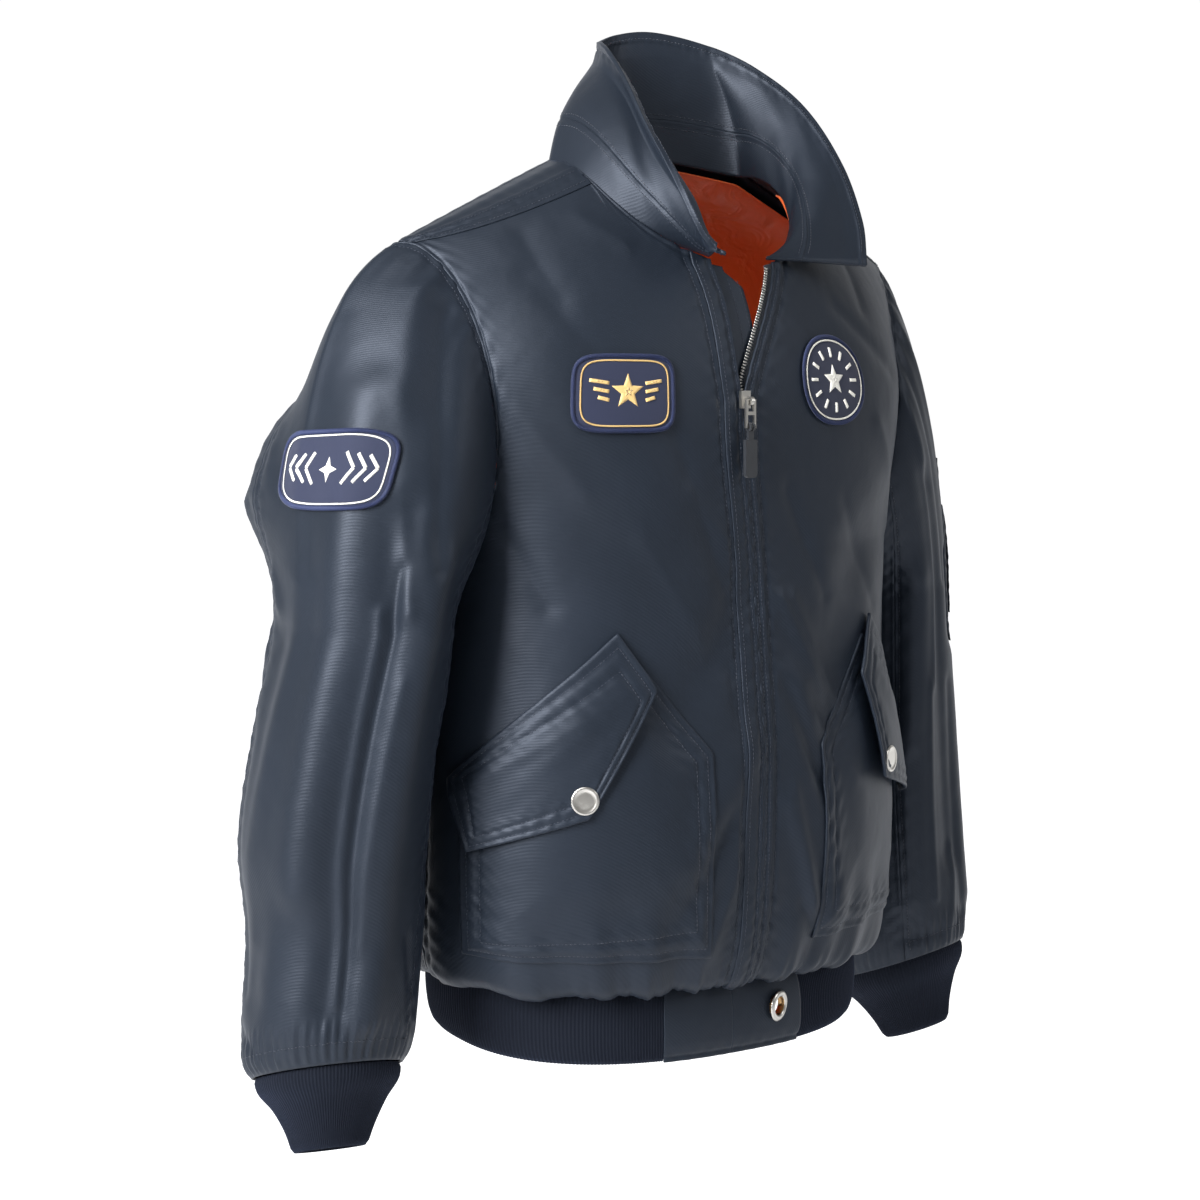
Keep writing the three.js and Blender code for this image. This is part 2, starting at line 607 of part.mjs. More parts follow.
function backPanel() {
  const surface = (a, b, rise) => {
    const side = a < 0 ? -1 : 1;
    return bodyPoint(side, Math.abs(a), b, 1, rise, rise < 0 ? 0 : HEM_GATHER);
  };
  return sheet("back", "nylon", surface, panelRows(-0.9995, 0.9995, 40, 18), NYLON_WALL);
}

// The armhole's edge as a loop by its own length: 0 at the shoulder, 0.5 at the underarm, front
// first. knots are the shares of the length where the body panels have points.
function armholeLoop(side) {
  const levels = [1, ...YOKE_LEVELS];
  const fine = 8;
  const points = [];
  const lengths = [];
  const knots = [];
  const add = (v, face) => {
    const point = bodyPoint(side, 0.9995, v, face);
    const before = points[points.length - 1];
    lengths.push(before ? lengths[lengths.length - 1] + point.distanceTo(before) : 0);
    points.push(point);
  };
  const run = (order, face) => {
    for (let k = 0; k < order.length - 1; k++) {
      for (let i = 0; i < fine; i++) {
        add(mix(order[k], order[k + 1], i / fine), face);
        if (i === 0) knots.push(points.length - 1);
      }
    }
    add(order[order.length - 1], face);
    knots.push(points.length - 1);
  };
  run([...levels].reverse(), -1);
  run(levels, 1);
  const total = lengths[lengths.length - 1];
  const place = (share) => {
    const at = (share - Math.floor(share)) * total;
    let i = 1;
    while (i < lengths.length - 1 && lengths[i] < at) i++;
    const t = (at - lengths[i - 1]) / (lengths[i] - lengths[i - 1]);
    return points[i - 1].clone().lerp(points[i], t);
  };
  return { place, knots: knots.map((k) => lengths[k] / total) };
}
const armholes = { "-1": armholeLoop(-1), 1: armholeLoop(1) };

// Sleeve ring place: angle 0 faces out, 90 the front, 180 the body.
function ringPoint(side, angle, down) {
  const value = (column) => lookUp(SLEEVE_RINGS[sideName(side)], "down", down, column);
  const turn = rad(angle);
  const across = value("rx") * Math.cos(turn);
  const along = value("ry") * Math.sin(turn);
  const z = -down + value("tip") * along + value("rock") * across;
  return new THREE.Vector3(value("x") + side * across, value("y") - along, z);
}

// Smooth sleeve: angle round it, v 0 at the armhole, 1 where the plain rings begin, 2 at the cuff seam.
function sleeveForm(side, angle, v) {
  const rings = SLEEVE_RINGS[sideName(side)];
  const [first, last] = [rings[0].down, rings[rings.length - 1].down];
  if (v >= 1) return ringPoint(side, angle, mix(first, last, v - 1));
  const turn = rad(angle);
  const start = armholes[side].place(angle / 360);
  const end = ringPoint(side, angle, first);
  const cap = SLEEVE_CAPS[sideName(side)];
  const leave = new THREE.Vector3(
    side * (cap.middle + cap.top * Math.cos(turn)),
    -0.5 * Math.sin(turn),
    -0.75 + 0.2 * Math.cos(turn),
  ).normalize();
  const reach = cap.reach * start.distanceTo(end);
  start.addScaledVector(leave, ARMHOLE_GAP);
  start.x += side * UNDERARM_CLEARANCE * (0.5 - 0.5 * Math.cos(turn));
  const ease = smooth(v);
  const place = start.lerp(end, ease);
  place.addScaledVector(leave, reach * v * (1 - v) * (1 - v));
  const arrive = new THREE.Vector3(side * 0.05, 0, -1);
  return place.addScaledVector(arrive, reach * v * v * (v - 1));
}

// The sleeve with its folds and the gathers into the cuff.
function sleevePoint(side, angle, v, rise = 0, gathered = 0) {
  const form = (a, b) => sleeveForm(side, a * 360, b);
  form.top = 2;
  const level = Math.max(v, 0.008);
  const normal = outward(form, angle / 360, level, side);
  const place = sleeveForm(side, angle, v);
  const fade = smooth(clamp(v / 0.3)) * smooth(clamp((2 - v) / 0.08));
  const folds = foldHeight(SLEEVE_FOLDS[sideName(side)], angle, place.z, 70);
  const puckers = gathered * gather(angle, 20) * smooth(clamp((v - 1.86) / 0.1));
  return place.addScaledVector(normal, fade * folds + puckers + rise);
}

// A sleeve is cut as an upper piece and an under piece.
function sleevePiece(side, name, from, to, plainCount, gatherCount) {
  const gap = deg(SEAM / 2 / 60);
  const row = (b, count) => ({ b, from: from + gap, to: to - gap, count });
  const [start, end] = [from + gap, to - gap];
  const knots = armholes[side].knots.flatMap((share) => [360 * share - 360, 360 * share]);
  const inside = knots.filter((angle) => angle > start + 2 && angle < end - 2);
  const distinct = [...new Set(inside.map((angle) => Math.round(angle * 1000) / 1000))];
  const atKnots = [start, ...distinct.sort((p, q) => p - q), end];
  const rows = [
    { b: 0, at: atKnots },
    { b: SLEEVE_LEVELS[0], at: atKnots },
    ...SLEEVE_LEVELS.slice(1).map((b) => row(b, plainCount)),
    ...CUFF_SEAM_LEVELS.map((b) => row(b, gatherCount)),
  ];
  const surface = (a, b, rise) => sleevePoint(side, a, b, rise, rise < 0 ? 0 : 1.3);
  return sheet(name + "_" + sideName(side), "nylon", surface, rows, NYLON_WALL);
}

// Knitted cuff, a tube below the sleeve's end.
function cuffPoint(side, angle, w, rise) {
  const end = SLEEVE_RINGS[sideName(side)][6];
  const share = lookUp(CUFF_PROFILE, "w", w, "share");
  const turn = rad(angle);
  const across = (end.rx * share + rise) * Math.cos(turn);
  const along = (end.ry * share + rise) * Math.sin(turn);
  const z = -end.down - 2 * SEAM - w * CUFF_LENGTH[sideName(side)] + end.tip * along + end.rock * across;
  const drift = CUFF_DRIFT[sideName(side)] * w;
  return new THREE.Vector3(end.x + side * (across + drift), end.y - along, z);
}

function cuff(side) {
  const angles = steps(0, 360, 20).slice(0, -1);
  const rows = (rise) =>
    steps(0, 1, 5).map((w) => angles.map((angle) => cuffPoint(side, angle, w, rise)));
  return wall("cuff_" + sideName(side), "knit", rows(0), rows(-KNIT_WALL), true);
}

// Knitted hem band and the nylon tabs at its front ends.
function hemPoint(angle, w, rise) {
  const value = (column) => lookUp(HEM_BAND, "w", w, column);
  const turn = rad(angle);
  const cos = Math.cos(turn);
  const depth = cos > 0 ? BODY_CENTRE_Y - value("front") : value("back") - BODY_CENTRE_Y;
  const across = Math.abs(Math.sin(turn) / (value("half") + rise)) ** BODY_POWER;
  const along = Math.abs(cos / (depth + rise)) ** BODY_POWER;
  const radius = (across + along) ** (-1 / BODY_POWER);
  const x = radius * Math.sin(turn);
  const y = -radius * cos;
  const z = value("z") + value("tilt") * y + value("lean") * x;
  return new THREE.Vector3(x, BODY_CENTRE_Y + y, z);
}

function hemAngle(x) {
  return deg(Math.asin(x / (BODY_CENTRE_Y - HEM_BAND[1].front)));
}

function hemStrip(name, kind, fromX, toX, count, thickness, lift) {
  const from = hemAngle(fromX);
  const to = hemAngle(toX);
  const rows = steps(1, 0, 3).map((b) => ({ b, from, to, count }));
  return sheet(name, kind, hemPoint, rows, thickness, lift);
}

function hemRib() {
  const centre = zipX(-630);
  const from = hemAngle(centre + HEM_TAB_WIDTH.left);
  const to = 360 + hemAngle(centre - HEM_TAB_WIDTH.right);
  const rows = steps(1, 0, 3).map((b) => ({ b, from, to, count: 40 }));
  return sheet("hem_rib", "knit", hemPoint, rows, KNIT_WALL);
}

// Neckline from the right front edge (u -1) round the back (u 0) to the left front edge (u 1).
function neckline(u) {
  const side = u < 0 ? -1 : 1;
  const own = Math.abs(u);
  const backShare = 0.36;
  if (own <= backShare) {
    const x = NECK_HALF_WIDTH * Math.sin(((own / backShare) * Math.PI) / 2);
    const z = NECK_RISE_BACK * (1 - (x / NECK_HALF_WIDTH) ** 2);
    return upperSkin(side * x, (z - UNDERARM_Z) / (ridgeZ(x) - UNDERARM_Z), 1);
  }
  const start = Math.asin(OPEN_HALF_GAP / NECK_HALF_WIDTH);
  const turn = mix(Math.PI / 2, start, (own - backShare) / (1 - backShare));
  const x = NECK_HALF_WIDTH * Math.sin(turn);
  const z = -NECK_DROP_FRONT * Math.cos(turn);
  return upperSkin(side * x, (z - UNDERARM_Z) / (ridgeZ(x) - UNDERARM_Z), -1);
}

// Smooth collar: w 0 at the neck seam, 1 at the free edge.
function collarForm(u, w) {
  const value = (column) => lookUp(COLLAR_EDGE, "u", u, column);
  const base = neckline(u);
  const outwards = new THREE.Vector3(base.x, base.y, 0).normalize();
  base.addScaledVector(outwards, -COLLAR_SETBACK);
  base.z += COLLAR_SETBACK;
  const rise = new THREE.Vector3(value("x"), value("y"), value("z")).sub(base);
  const height = rise.length();
  const up = rise.divideScalar(height);
  const out = outwards.clone().addScaledVector(up, -outwards.dot(up)).normalize();
  const path = w * height;
  const plain = Math.min(path, height - COLLAR_ROLL);
  const rolled = path - plain;
  const bow = value("bow") * Math.sin((Math.PI * plain) / (height - COLLAR_ROLL));
  base.addScaledVector(up, plain).addScaledVector(out, bow);
  const bend = Math.max(rad(value("curl")), 0.001) / COLLAR_ROLL;
  base.addScaledVector(up, Math.sin(bend * rolled) / bend);
  return base.addScaledVector(out, (1 - Math.cos(bend * rolled)) / bend);
}

function collarPoint(u, w, rise) {
  const form = (a, b) => collarForm(a, b);
  form.top = 1;
  const own = clamp(u, -0.995, 0.995);
  const normal = outward(form, own, Math.max(w, 0.004), -1);
  return collarForm(u, w).addScaledVector(normal, rise);
}

function collarPiece(name, levels) {
  const rows = levels.map((b) => ({ b, from: -1, to: 1, count: 30 }));
  return sheet(name, "nylon", collarPoint, rows, COLLAR_WALL);
}

// Strips beside the front edges. Their rows match the body panels' rows.
const EDGE_LEVELS = [...HEM_LEVELS.slice(2), ...BODY_LEVELS, ...YOKE_LEVELS.filter((v) => v < 1.98), 2];

// Width of the left zip tape that shows beyond its edge, never as far as the right edge.
function tapeShown(v) {
  const gap = 2 * edgeGap(bodyForm(1, 0, v, -1, 0).z);
  return clamp(gap - 1.5, 0, ZIP_TAPE_SHOWN);
}

function edgeStrip(name, kind, side, reach, levels, thickness, lift) {
  const rows = levels.map((b) => ({ b, ...reach(b) }));
  const surface = (a, b, rise) => edgePoint(side, a, b, rise);
  return sheet(name, kind, surface, rows, thickness, lift);
}

function zipStrips() {
  const half = SEAM / 2;
  const whole = [...HEM_LEVELS.slice(0, 2), ...EDGE_LEVELS];
  const right = () => ({ from: half, to: PLACKET.right, count: 2 });
  const left = () => ({ from: half, to: PLACKET.left, count: 2 });
  const hidden = () => ({ from: half, to: TAPE_REACH, count: 1 });
  const shown = (v) => ({ from: half - tapeShown(v), to: TAPE_REACH, count: 2 });
  const flap = (v) => {
    const shows = v > TOP_LEVEL ? WIND_FLAP_TOP : WIND_FLAP_SHOWN;
    return { from: -shows, to: WIND_FLAP_REACH, count: 2 };
  };
  return [
    edgeStrip("placket_right", "nylon", -1, right, whole, NYLON_WALL, STRIP_LIFT.placket),
    edgeStrip("placket_left", "nylon", 1, left, whole, NYLON_WALL, STRIP_LIFT.placket),
    edgeStrip("zip_tape_right", "tape", -1, hidden, EDGE_LEVELS, TAPE_WALL, STRIP_LIFT.tape),
    edgeStrip("zip_tape_left", "tape", 1, shown, EDGE_LEVELS, TAPE_WALL, STRIP_LIFT.tape),
    edgeStrip("wind_flap", "nylon", -1, flap, EDGE_LEVELS, STRIP_WALL, STRIP_LIFT.windFlap),
  ];
}

// Lining, seen inside the neck. It hangs free of the shell and meets it at the neck.
function liningPoint(side, share, v, face, rise) {
  const form = (a, b) => bodyForm(side, a, b, face);
  form.top = 2;
  const own = clamp(share, 0.004, 0.994);
  const normal = outward(form, own, v, -side * face);
  const drop = mix(LINING_DROP, NYLON_WALL + LINING_GAP, smooth(clamp((v - 1.75) / 0.235)));
  const place = form(share, v).addScaledVector(normal, rise - drop);
  place.y += face * SEAM;
  const seamY = mix(BODY_CENTRE_Y, RIDGE_Y, clamp(v - 1)) + face * SEAM;
  if ((place.y - seamY) * face < 0) place.y = seamY;
  return place;
}

// How far towards the side or the armhole the lining reaches.
const liningEnd = (v) => mix(0.975, 0.9, smooth(clamp((v - 0.7) / 0.5)));

function linings() {
  const half = (side) => {
    const rows = LINING_LEVELS.map((b) => ({ b, from: LINING_START, to: liningEnd(b), count: 6 }));
    const surface = (a, b, rise) => liningPoint(side, a, b, -1, rise);
    return sheet("lining_" + sideName(side), "lining", surface, rows, LINING_WALL);
  };
  const rows = LINING_LEVELS.map((b) => ({ b, from: -liningEnd(b), to: liningEnd(b), count: 12 }));
  const back = (a, b, rise) => liningPoint(a < 0 ? -1 : 1, Math.abs(a), b, 1, rise);
  return [half(-1), half(1), sheet("lining_back", "lining", back, rows, LINING_WALL)];
}

// A place inside four edge lines, each a list of corners: blends them over the square (a, b).
function between(edges, a, b) {
  const along = (line, t) => {
    const lengths = line.slice(1).map((q, i) => Math.hypot(q[0] - line[i][0], q[1] - line[i][1]));
    let left = t * lengths.reduce((sum, length) => sum + length, 0);
    let i = 0;
    while (i < lengths.length - 1 && left > lengths[i]) left -= lengths[i++];
    const share = clamp(left / lengths[i]);
    return [0, 1].map((k) => mix(line[i][k], line[i + 1][k], share));
  };
  const [low, high] = [along(edges.bottom, a), along(edges.top, a)];
  const [start, end] = [along(edges.left, b), along(edges.right, b)];
  const corner = (line, last) => line[last ? line.length - 1 : 0];
  return [0, 1].map((k) => {
    const sides = mix(start[k], end[k], a) + mix(low[k], high[k], b);
    const lowCorners = mix(corner(edges.bottom, false)[k], corner(edges.bottom, true)[k], a);
    const highCorners = mix(corner(edges.top, false)[k], corner(edges.top, true)[k], a);
    return sides - mix(lowCorners, highCorners, b);
  });
}

function pocketEdges(side) {
  const { bag } = POCKETS[sideName(side)];
  const nearFoot = [bag.nearBend[0], POCKET_FOOT_Z];
  const farFoot = [bag.farTop[0], POCKET_FOOT_Z + 6];
  return {
    bottom: [farFoot, nearFoot],
    top: [bag.farTop, bag.nearTop],
    left: [farFoot, bag.farTop],
    right: [nearFoot, bag.nearBend, bag.nearTop],
  };
}

function flapEdges(side) {
  const { flap } = POCKETS[sideName(side)];
  return {
    bottom: [flap.foot, flap.nose],
    top: [flap.back, flap.top],
    left: [flap.foot, flap.back],
    right: [flap.nose, flap.point, flap.top],
  };
}

function pocketParts(side) {
  const name = sideName(side);
  const bag = (a, b, rise) => {
    const [angle, z] = between(pocketEdges(side), a, b);
    const inside = clamp(6 * Math.min(a, 1 - a, b, 1 - b));
    const lift = mix(POCKET_LIFT.edge, POCKET_LIFT.middle, inside);
    return frontAt(side, angle, z, rise + Math.max(lift, mix(POCKET_LIFT.foot, 0, clamp(2.5 * b))));
  };
  const flap = (a, b, rise) => {
    const [angle, z] = between(flapEdges(side), a, b);
    const lift = mix(FLAP_LIFT, POCKETS[name].seam, clamp(4 * b - 3));
    return frontAt(side, angle, z, rise + lift + POCKETS[name].stand * smooth(1 - b));
  };
  const grid = (across, up) => steps(0, 1, up).map((b) => ({ b, from: 0, to: 1, count: across }));
  const outside = flap(...SNAP_PLACE, 0);
  const snap = snapButton("snap_" + name);
  const facing = flap(...SNAP_PLACE, 1).sub(outside).normalize();
  snap.position.copy(outside).addScaledVector(facing, SEAM);
  snap.quaternion.setFromUnitVectors(new THREE.Vector3(0, 1, 0), facing);
  return [
    sheet("pocket_" + name, "nylon", bag, grid(8, 7), NYLON_WALL),
    sheet("flap_" + name, "nylon", flap, grid(8, 4), FLAP_WALL),
    snap,
  ];
}

// Pressed metal cap of a snap fastener, its axis along y.
function snapButton(name) {
  const profile = SNAP_PROFILE.map(([r, h]) => new THREE.Vector2(r, h));
  return closedMesh(name, "metal", new THREE.LatheGeometry(profile, 14));
}

// A mesh from a geometry whose repeated points are merged.
function closedMesh(name, kind, geometry) {
  geometry.deleteAttribute("normal");
  geometry.deleteAttribute("uv");
  const merged = mergeVertices(geometry, 1e-4);
  const points = [];
  const position = merged.getAttribute("position");
  for (let i = 0; i < position.count; i++) points.push(new THREE.Vector3().fromBufferAttribute(position, i));
  const faces = Array.from(merged.index.array);
  const kept = [];
  for (let i = 0; i < faces.length; i += 3) {
    const [a, b, c] = faces.slice(i, i + 3);
    if (a !== b && b !== c && c !== a) kept.push(a, b, c);
  }
  return meshOf(name, kind, points, kept);
}

// Solids for joining and cutting, and back.
function toSolid(mesh) {
  mesh.updateMatrix();
  const moved = mesh.geometry.clone().applyMatrix4(mesh.matrix);
  moved.deleteAttribute("normal");
  return new wasm.Manifold(
    new wasm.Mesh({
      numProp: 3,
      vertProperties: moved.getAttribute("position").array,
      triVerts: new Uint32Array(moved.index.array),
    }),
  );
}

function fromSolid(name, kind, solid) {
  const mesh = solid.getMesh();
  const geometry = new THREE.BufferGeometry();
  geometry.setAttribute("position", new THREE.BufferAttribute(mesh.vertProperties, 3));
  geometry.setIndex(new THREE.BufferAttribute(mesh.triVerts, 1));
  geometry.computeVertexNormals();
  const made = new THREE.Mesh(geometry, material(kind));
  made.name = name;
  return made;
}

function block(width, depth, height, x, y, z) {
  const geometry = new THREE.BoxGeometry(width, depth, height);
  const mesh = closedMesh("block", "metal", geometry);
  mesh.position.set(x, y, z);
  return mesh;
}

// A loop round the x axis, width wide, cut from inner to outer radius.
function loopRoundX(inner, outer, width, x, y, z) {
  const shape = new THREE.Shape().absarc(0, 0, outer, 0, 2 * Math.PI);
  shape.holes.push(new THREE.Path().absarc(0, 0, inner, 0, 2 * Math.PI, true));
  const options = { depth: width, bevelEnabled: false, curveSegments: 10 };
  const mesh = closedMesh("loop", "metal", new THREE.ExtrudeGeometry(shape, options));
  mesh.rotation.y = Math.PI / 2;
  mesh.position.set(x - width / 2, y, z);
  return mesh;
}

// A patch of cloth: an oval, squarer with a higher power, at a place on the front or the sleeve.
function patch(name, surface, halfWidth, halfHeight, power) {
  const outline = (turn) => {
    const round = (value) => Math.sign(value) * Math.abs(value) ** (2 / power);
    return [halfWidth * round(Math.cos(turn)), halfHeight * round(Math.sin(turn))];
  };
  const arc = (from, to) => steps(rad(from), rad(to), 6).map(outline);
  const edges = {
    bottom: arc(225, 315),
    top: arc(135, 45),
    left: arc(225, 135),
    right: arc(-45, 45),
  };
  const onCloth = (a, b, rise) => surface(...between(edges, a, b), rise);
  const rows = steps(0, 1, 6).map((b) => ({ b, from: 0, to: 1, count: 6 }));
  return sheet(name, "patch", onCloth, rows, PATCH_WALL, PATCH_WALL + PATCH_LIFT);
}

function chestPatch(side) {
  const { angle, z, halfWidth, halfHeight, power } = CHEST_PATCHES[sideName(side)];
  const perMm = 1 / frontAt(side, angle - 0.5, z, 0).distanceTo(frontAt(side, angle + 0.5, z, 0));
  const surface = (across, up, rise) => frontAt(side, angle + across * perMm, z + up, rise);
  return patch("patch_chest_" + sideName(side), surface, halfWidth, halfHeight, power);
}

// The sleeve at an angle and a height, moved out by rise.
function sleeveAt(side, angle, z, rise) {
  let [low, high] = [0, 2];
  for (let round = 0; round < 24; round++) {
    const v = (low + high) / 2;
    if (sleeveForm(side, angle, v).z > z) low = v;
    else high = v;
  }
  return sleevePoint(side, angle, (low + high) / 2, rise);
}

// Surface of a sleeve in millimetres across and up from a middle place.
function sleeveCloth(side, middle) {
  const { angle, z } = middle;
  const perMm = 1 / sleeveAt(side, angle - 0.5, z, 0).distanceTo(sleeveAt(side, angle + 0.5, z, 0));
  return (across, up, rise) => sleeveAt(side, angle + across * perMm, z + up, rise);
}

function sleevePatch() {
  const { halfWidth, halfHeight, power } = SLEEVE_PATCH;
  return patch("patch_sleeve", sleeveCloth(-1, SLEEVE_PATCH), halfWidth, halfHeight, power);
}

// How far the sleeve pocket swells at a place on it, nothing outside it.
function pocketSwell(across, up) {
  const a = clamp(1 - (across / SLEEVE_POCKET.halfWidth) ** 2);
  const b = clamp(1 - (up / SLEEVE_POCKET.halfHeight) ** 2);
  return SLEEVE_POCKET.puff * (a * b) ** 0.5;
}

// The zipped pocket on the left sleeve and the pen pocket sewn on it.
function sleevePockets() {
  const cloth = sleeveCloth(1, SLEEVE_POCKET);
  const piece = (name, edges, across, up, lift) => {
    const surface = (a, b, rise) => {
      const [x, z] = between(edges, a, b);
      return cloth(x, z, rise + pocketSwell(x, z));
    };
    const rows = steps(0, 1, up).map((b) => ({ b, from: 0, to: 1, count: across }));
    return sheet(name, "nylon", surface, rows, STRIP_WALL, lift);
  };
  const pocket = box(SLEEVE_POCKET.halfWidth, SLEEVE_POCKET.halfHeight);
  const pen = box(PEN_POCKET.halfWidth, PEN_POCKET.halfHeight, PEN_POCKET.x, PEN_POCKET.z);
  return [piece("sleeve_pocket", pocket, 6, 6, SLEEVE_POCKET.lift), piece("pen_pocket", pen, 2, 6, PEN_POCKET.lift)];
}

function box(halfWidth, halfHeight, x = 0, z = 0) {
  const [l, r, d, u] = [x - halfWidth, x + halfWidth, z - halfHeight, z + halfHeight];
  return {
    bottom: [[l, d], [r, d]],
    top: [[l, u], [r, u]],
    left: [[l, d], [l, u]],
    right: [[r, d], [r, u]],
  };
}

// Main zip: slider with a bridge, a link that swings on it and a rubber-covered tab on the link.
function zipPull() {
  const cloth = edgePoint(1, 0, SLIDER_V, STRIP_LIFT.placket);
  const pivot = new THREE.Vector3(cloth.x, cloth.y - PULL_OFF_CLOTH, cloth.z);
  const at = (x, y, z) => [pivot.x + x, pivot.y + y, pivot.z + z];
  return [slider(at), pullLink(at), pullTab(...at(0, 0, -LINK_LENGTH))];
}

function slider(at) {
  const { width, depth, height, bridgeWidth, bridgeDepth, bridgeHeight } = SLIDER;
  const { bore, outer } = HINGE;
  const plateY = PULL_OFF_CLOTH - SLIDER_OFF_CLOTH;
  const bridge = block(bridgeWidth, bridgeDepth, bridgeHeight, ...at(0, plateY - depth, 0));
  const body = toSolid(block(width, depth, height, ...at(0, plateY, 1)))
    .add(toSolid(bridge))
    .add(toSolid(loopRoundX(bore, outer, HINGE.width, ...at(0, 0, 0))))
    .subtract(toSolid(loopRoundX(0.01, bore, HINGE.width + 1, ...at(0, 0, 0))));
  return fromSolid("zip_slider", "metal", body);
}

function pullLink(at) {
  const { width, depth, upperHole, upperHoleHeight, lowerHole, bars } = LINK;
  const middle = -LINK_LENGTH / 2;
  const plate = toSolid(block(width, depth, LINK_LENGTH + 2, ...at(0, 0, middle)));
  const upper = block(upperHole, depth + 1, upperHoleHeight, ...at(0, 0, 1 - 2 - upperHoleHeight / 2));
  const lower = block(lowerHole, depth + 1, LINK_LENGTH - bars, ...at(0, 0, middle - 4.7));
  return fromSolid("pull_link", "metal", plate.subtract(toSolid(upper)).subtract(toSolid(lower)));
}

function pullTab(x, y, z) {
  const claw = (offset) => toSolid(loopRoundX(HINGE.bore, YOKE.outer, YOKE.width, x + offset, y, z));
  const neckZ = z - HINGE.bore - YOKE.neckHeight / 2 - 0.2;
  const body = claw(-YOKE.apart)
    .add(claw(YOKE.apart))
    .add(toSolid(block(YOKE.neckWidth, 2, YOKE.neckHeight, x, y, neckZ)))
    .add(toSolid(tabBody(x, y, z - TAB.top)));
  return fromSolid("pull_tab", "rubber", body);
}

function tabBody(x, y, z) {
  const { halfWidth, length, corner, thickness } = TAB;
  const shape = new THREE.Shape();
  shape.moveTo(-halfWidth, 0);
  shape.lineTo(-halfWidth, -length + corner);
  shape.quadraticCurveTo(-halfWidth, -length, -halfWidth + corner, -length);
  shape.lineTo(halfWidth - corner, -length);
  shape.quadraticCurveTo(halfWidth, -length, halfWidth, -length + corner);
  shape.lineTo(halfWidth, 0);
  const options = { depth: thickness, bevelEnabled: false, curveSegments: 4 };
  const mesh = closedMesh("tab", "rubber", new THREE.ExtrudeGeometry(shape, options));
  mesh.rotation.x = Math.PI / 2;
  mesh.position.set(x, y + thickness / 2, z);
  return mesh;
}

// Eyelet set through the left hem tab.
function hemTabWithEyelet(tab) {
  const angle = hemAngle(zipX(-630) + EYELET_X + SEAM);
  const place = hemPoint(angle, EYELET_W, 0.5);
  const facing = outward((x, w) => hemPoint(x * 100, w, 0.5), angle / 100, EYELET_W, -1);
  const turn = new THREE.Quaternion().setFromUnitVectors(new THREE.Vector3(0, 1, 0), facing);
  const bore = closedMesh("bore", "metal", new THREE.CylinderGeometry(EYELET_BORE, EYELET_BORE, 20, 28));
  bore.position.copy(place);
  bore.quaternion.copy(turn);
  const profile = EYELET_PROFILE.map(([r, h]) => new THREE.Vector2(r, h));
  const grommet = closedMesh("grommet", "metal", new THREE.LatheGeometry(profile, 20));
  grommet.position.copy(place);
  grommet.quaternion.copy(turn);
  return [fromSolid("hem_tab_left", "nylon", toSolid(tab).subtract(toSolid(bore))), grommet];
}

const jacket = new THREE.Group();
for (const side of [-1, 1]) {
  jacket.add(
    frontPanel(side),
    sleevePiece(side, "sleeve_upper", SLEEVE_SEAMS.back, SLEEVE_SEAMS.front, 10, 20),
    sleevePiece(side, "sleeve_under", SLEEVE_SEAMS.front, SLEEVE_SEAMS.back + 360, 11, 22),
    cuff(side),
    ...pocketParts(side),
  );
}
const zipFoot = zipX(-630);
const half = SEAM / 2;
const rightEnd = zipFoot - HEM_TAB_WIDTH.right + SEAM;
const leftEnd = zipFoot + HEM_TAB_WIDTH.left - SEAM;
jacket.add(
  backPanel(),
  hemRib(),
  hemStrip("hem_tab_right", "nylon", rightEnd, zipFoot - half, 5, NYLON_WALL, 0.5),
  ...hemTabWithEyelet(hemStrip("hem_tab_left", "nylon", zipFoot + half, leftEnd, 5, NYLON_WALL, 0.5)),
  collarPiece("collar_stand", [0, STAND_SHARE / 2, STAND_SHARE]),
  collarPiece("collar_leaf", [LEAF_START, 0.5, 0.66, 0.78, 0.86, 0.93, 1]),
  ...zipStrips(),
  ...linings(),
  chestPatch(-1),
  chestPatch(1),
  sleevePatch(),
  ...sleevePockets(),
  ...zipPull(),
);

export default jacket;
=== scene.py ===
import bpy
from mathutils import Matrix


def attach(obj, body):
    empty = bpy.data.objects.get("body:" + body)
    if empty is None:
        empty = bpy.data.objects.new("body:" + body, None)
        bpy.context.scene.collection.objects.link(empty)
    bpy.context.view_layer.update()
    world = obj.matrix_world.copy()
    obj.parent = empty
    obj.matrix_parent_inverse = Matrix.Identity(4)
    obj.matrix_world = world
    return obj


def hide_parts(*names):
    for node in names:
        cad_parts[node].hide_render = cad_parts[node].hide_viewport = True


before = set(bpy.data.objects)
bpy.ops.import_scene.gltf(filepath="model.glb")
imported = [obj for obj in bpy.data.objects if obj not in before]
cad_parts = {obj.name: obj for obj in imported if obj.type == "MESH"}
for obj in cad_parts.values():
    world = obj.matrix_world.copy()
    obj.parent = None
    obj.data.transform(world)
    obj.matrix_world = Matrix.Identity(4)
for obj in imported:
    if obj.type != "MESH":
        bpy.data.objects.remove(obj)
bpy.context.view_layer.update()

import math

import bpy
import numpy as np

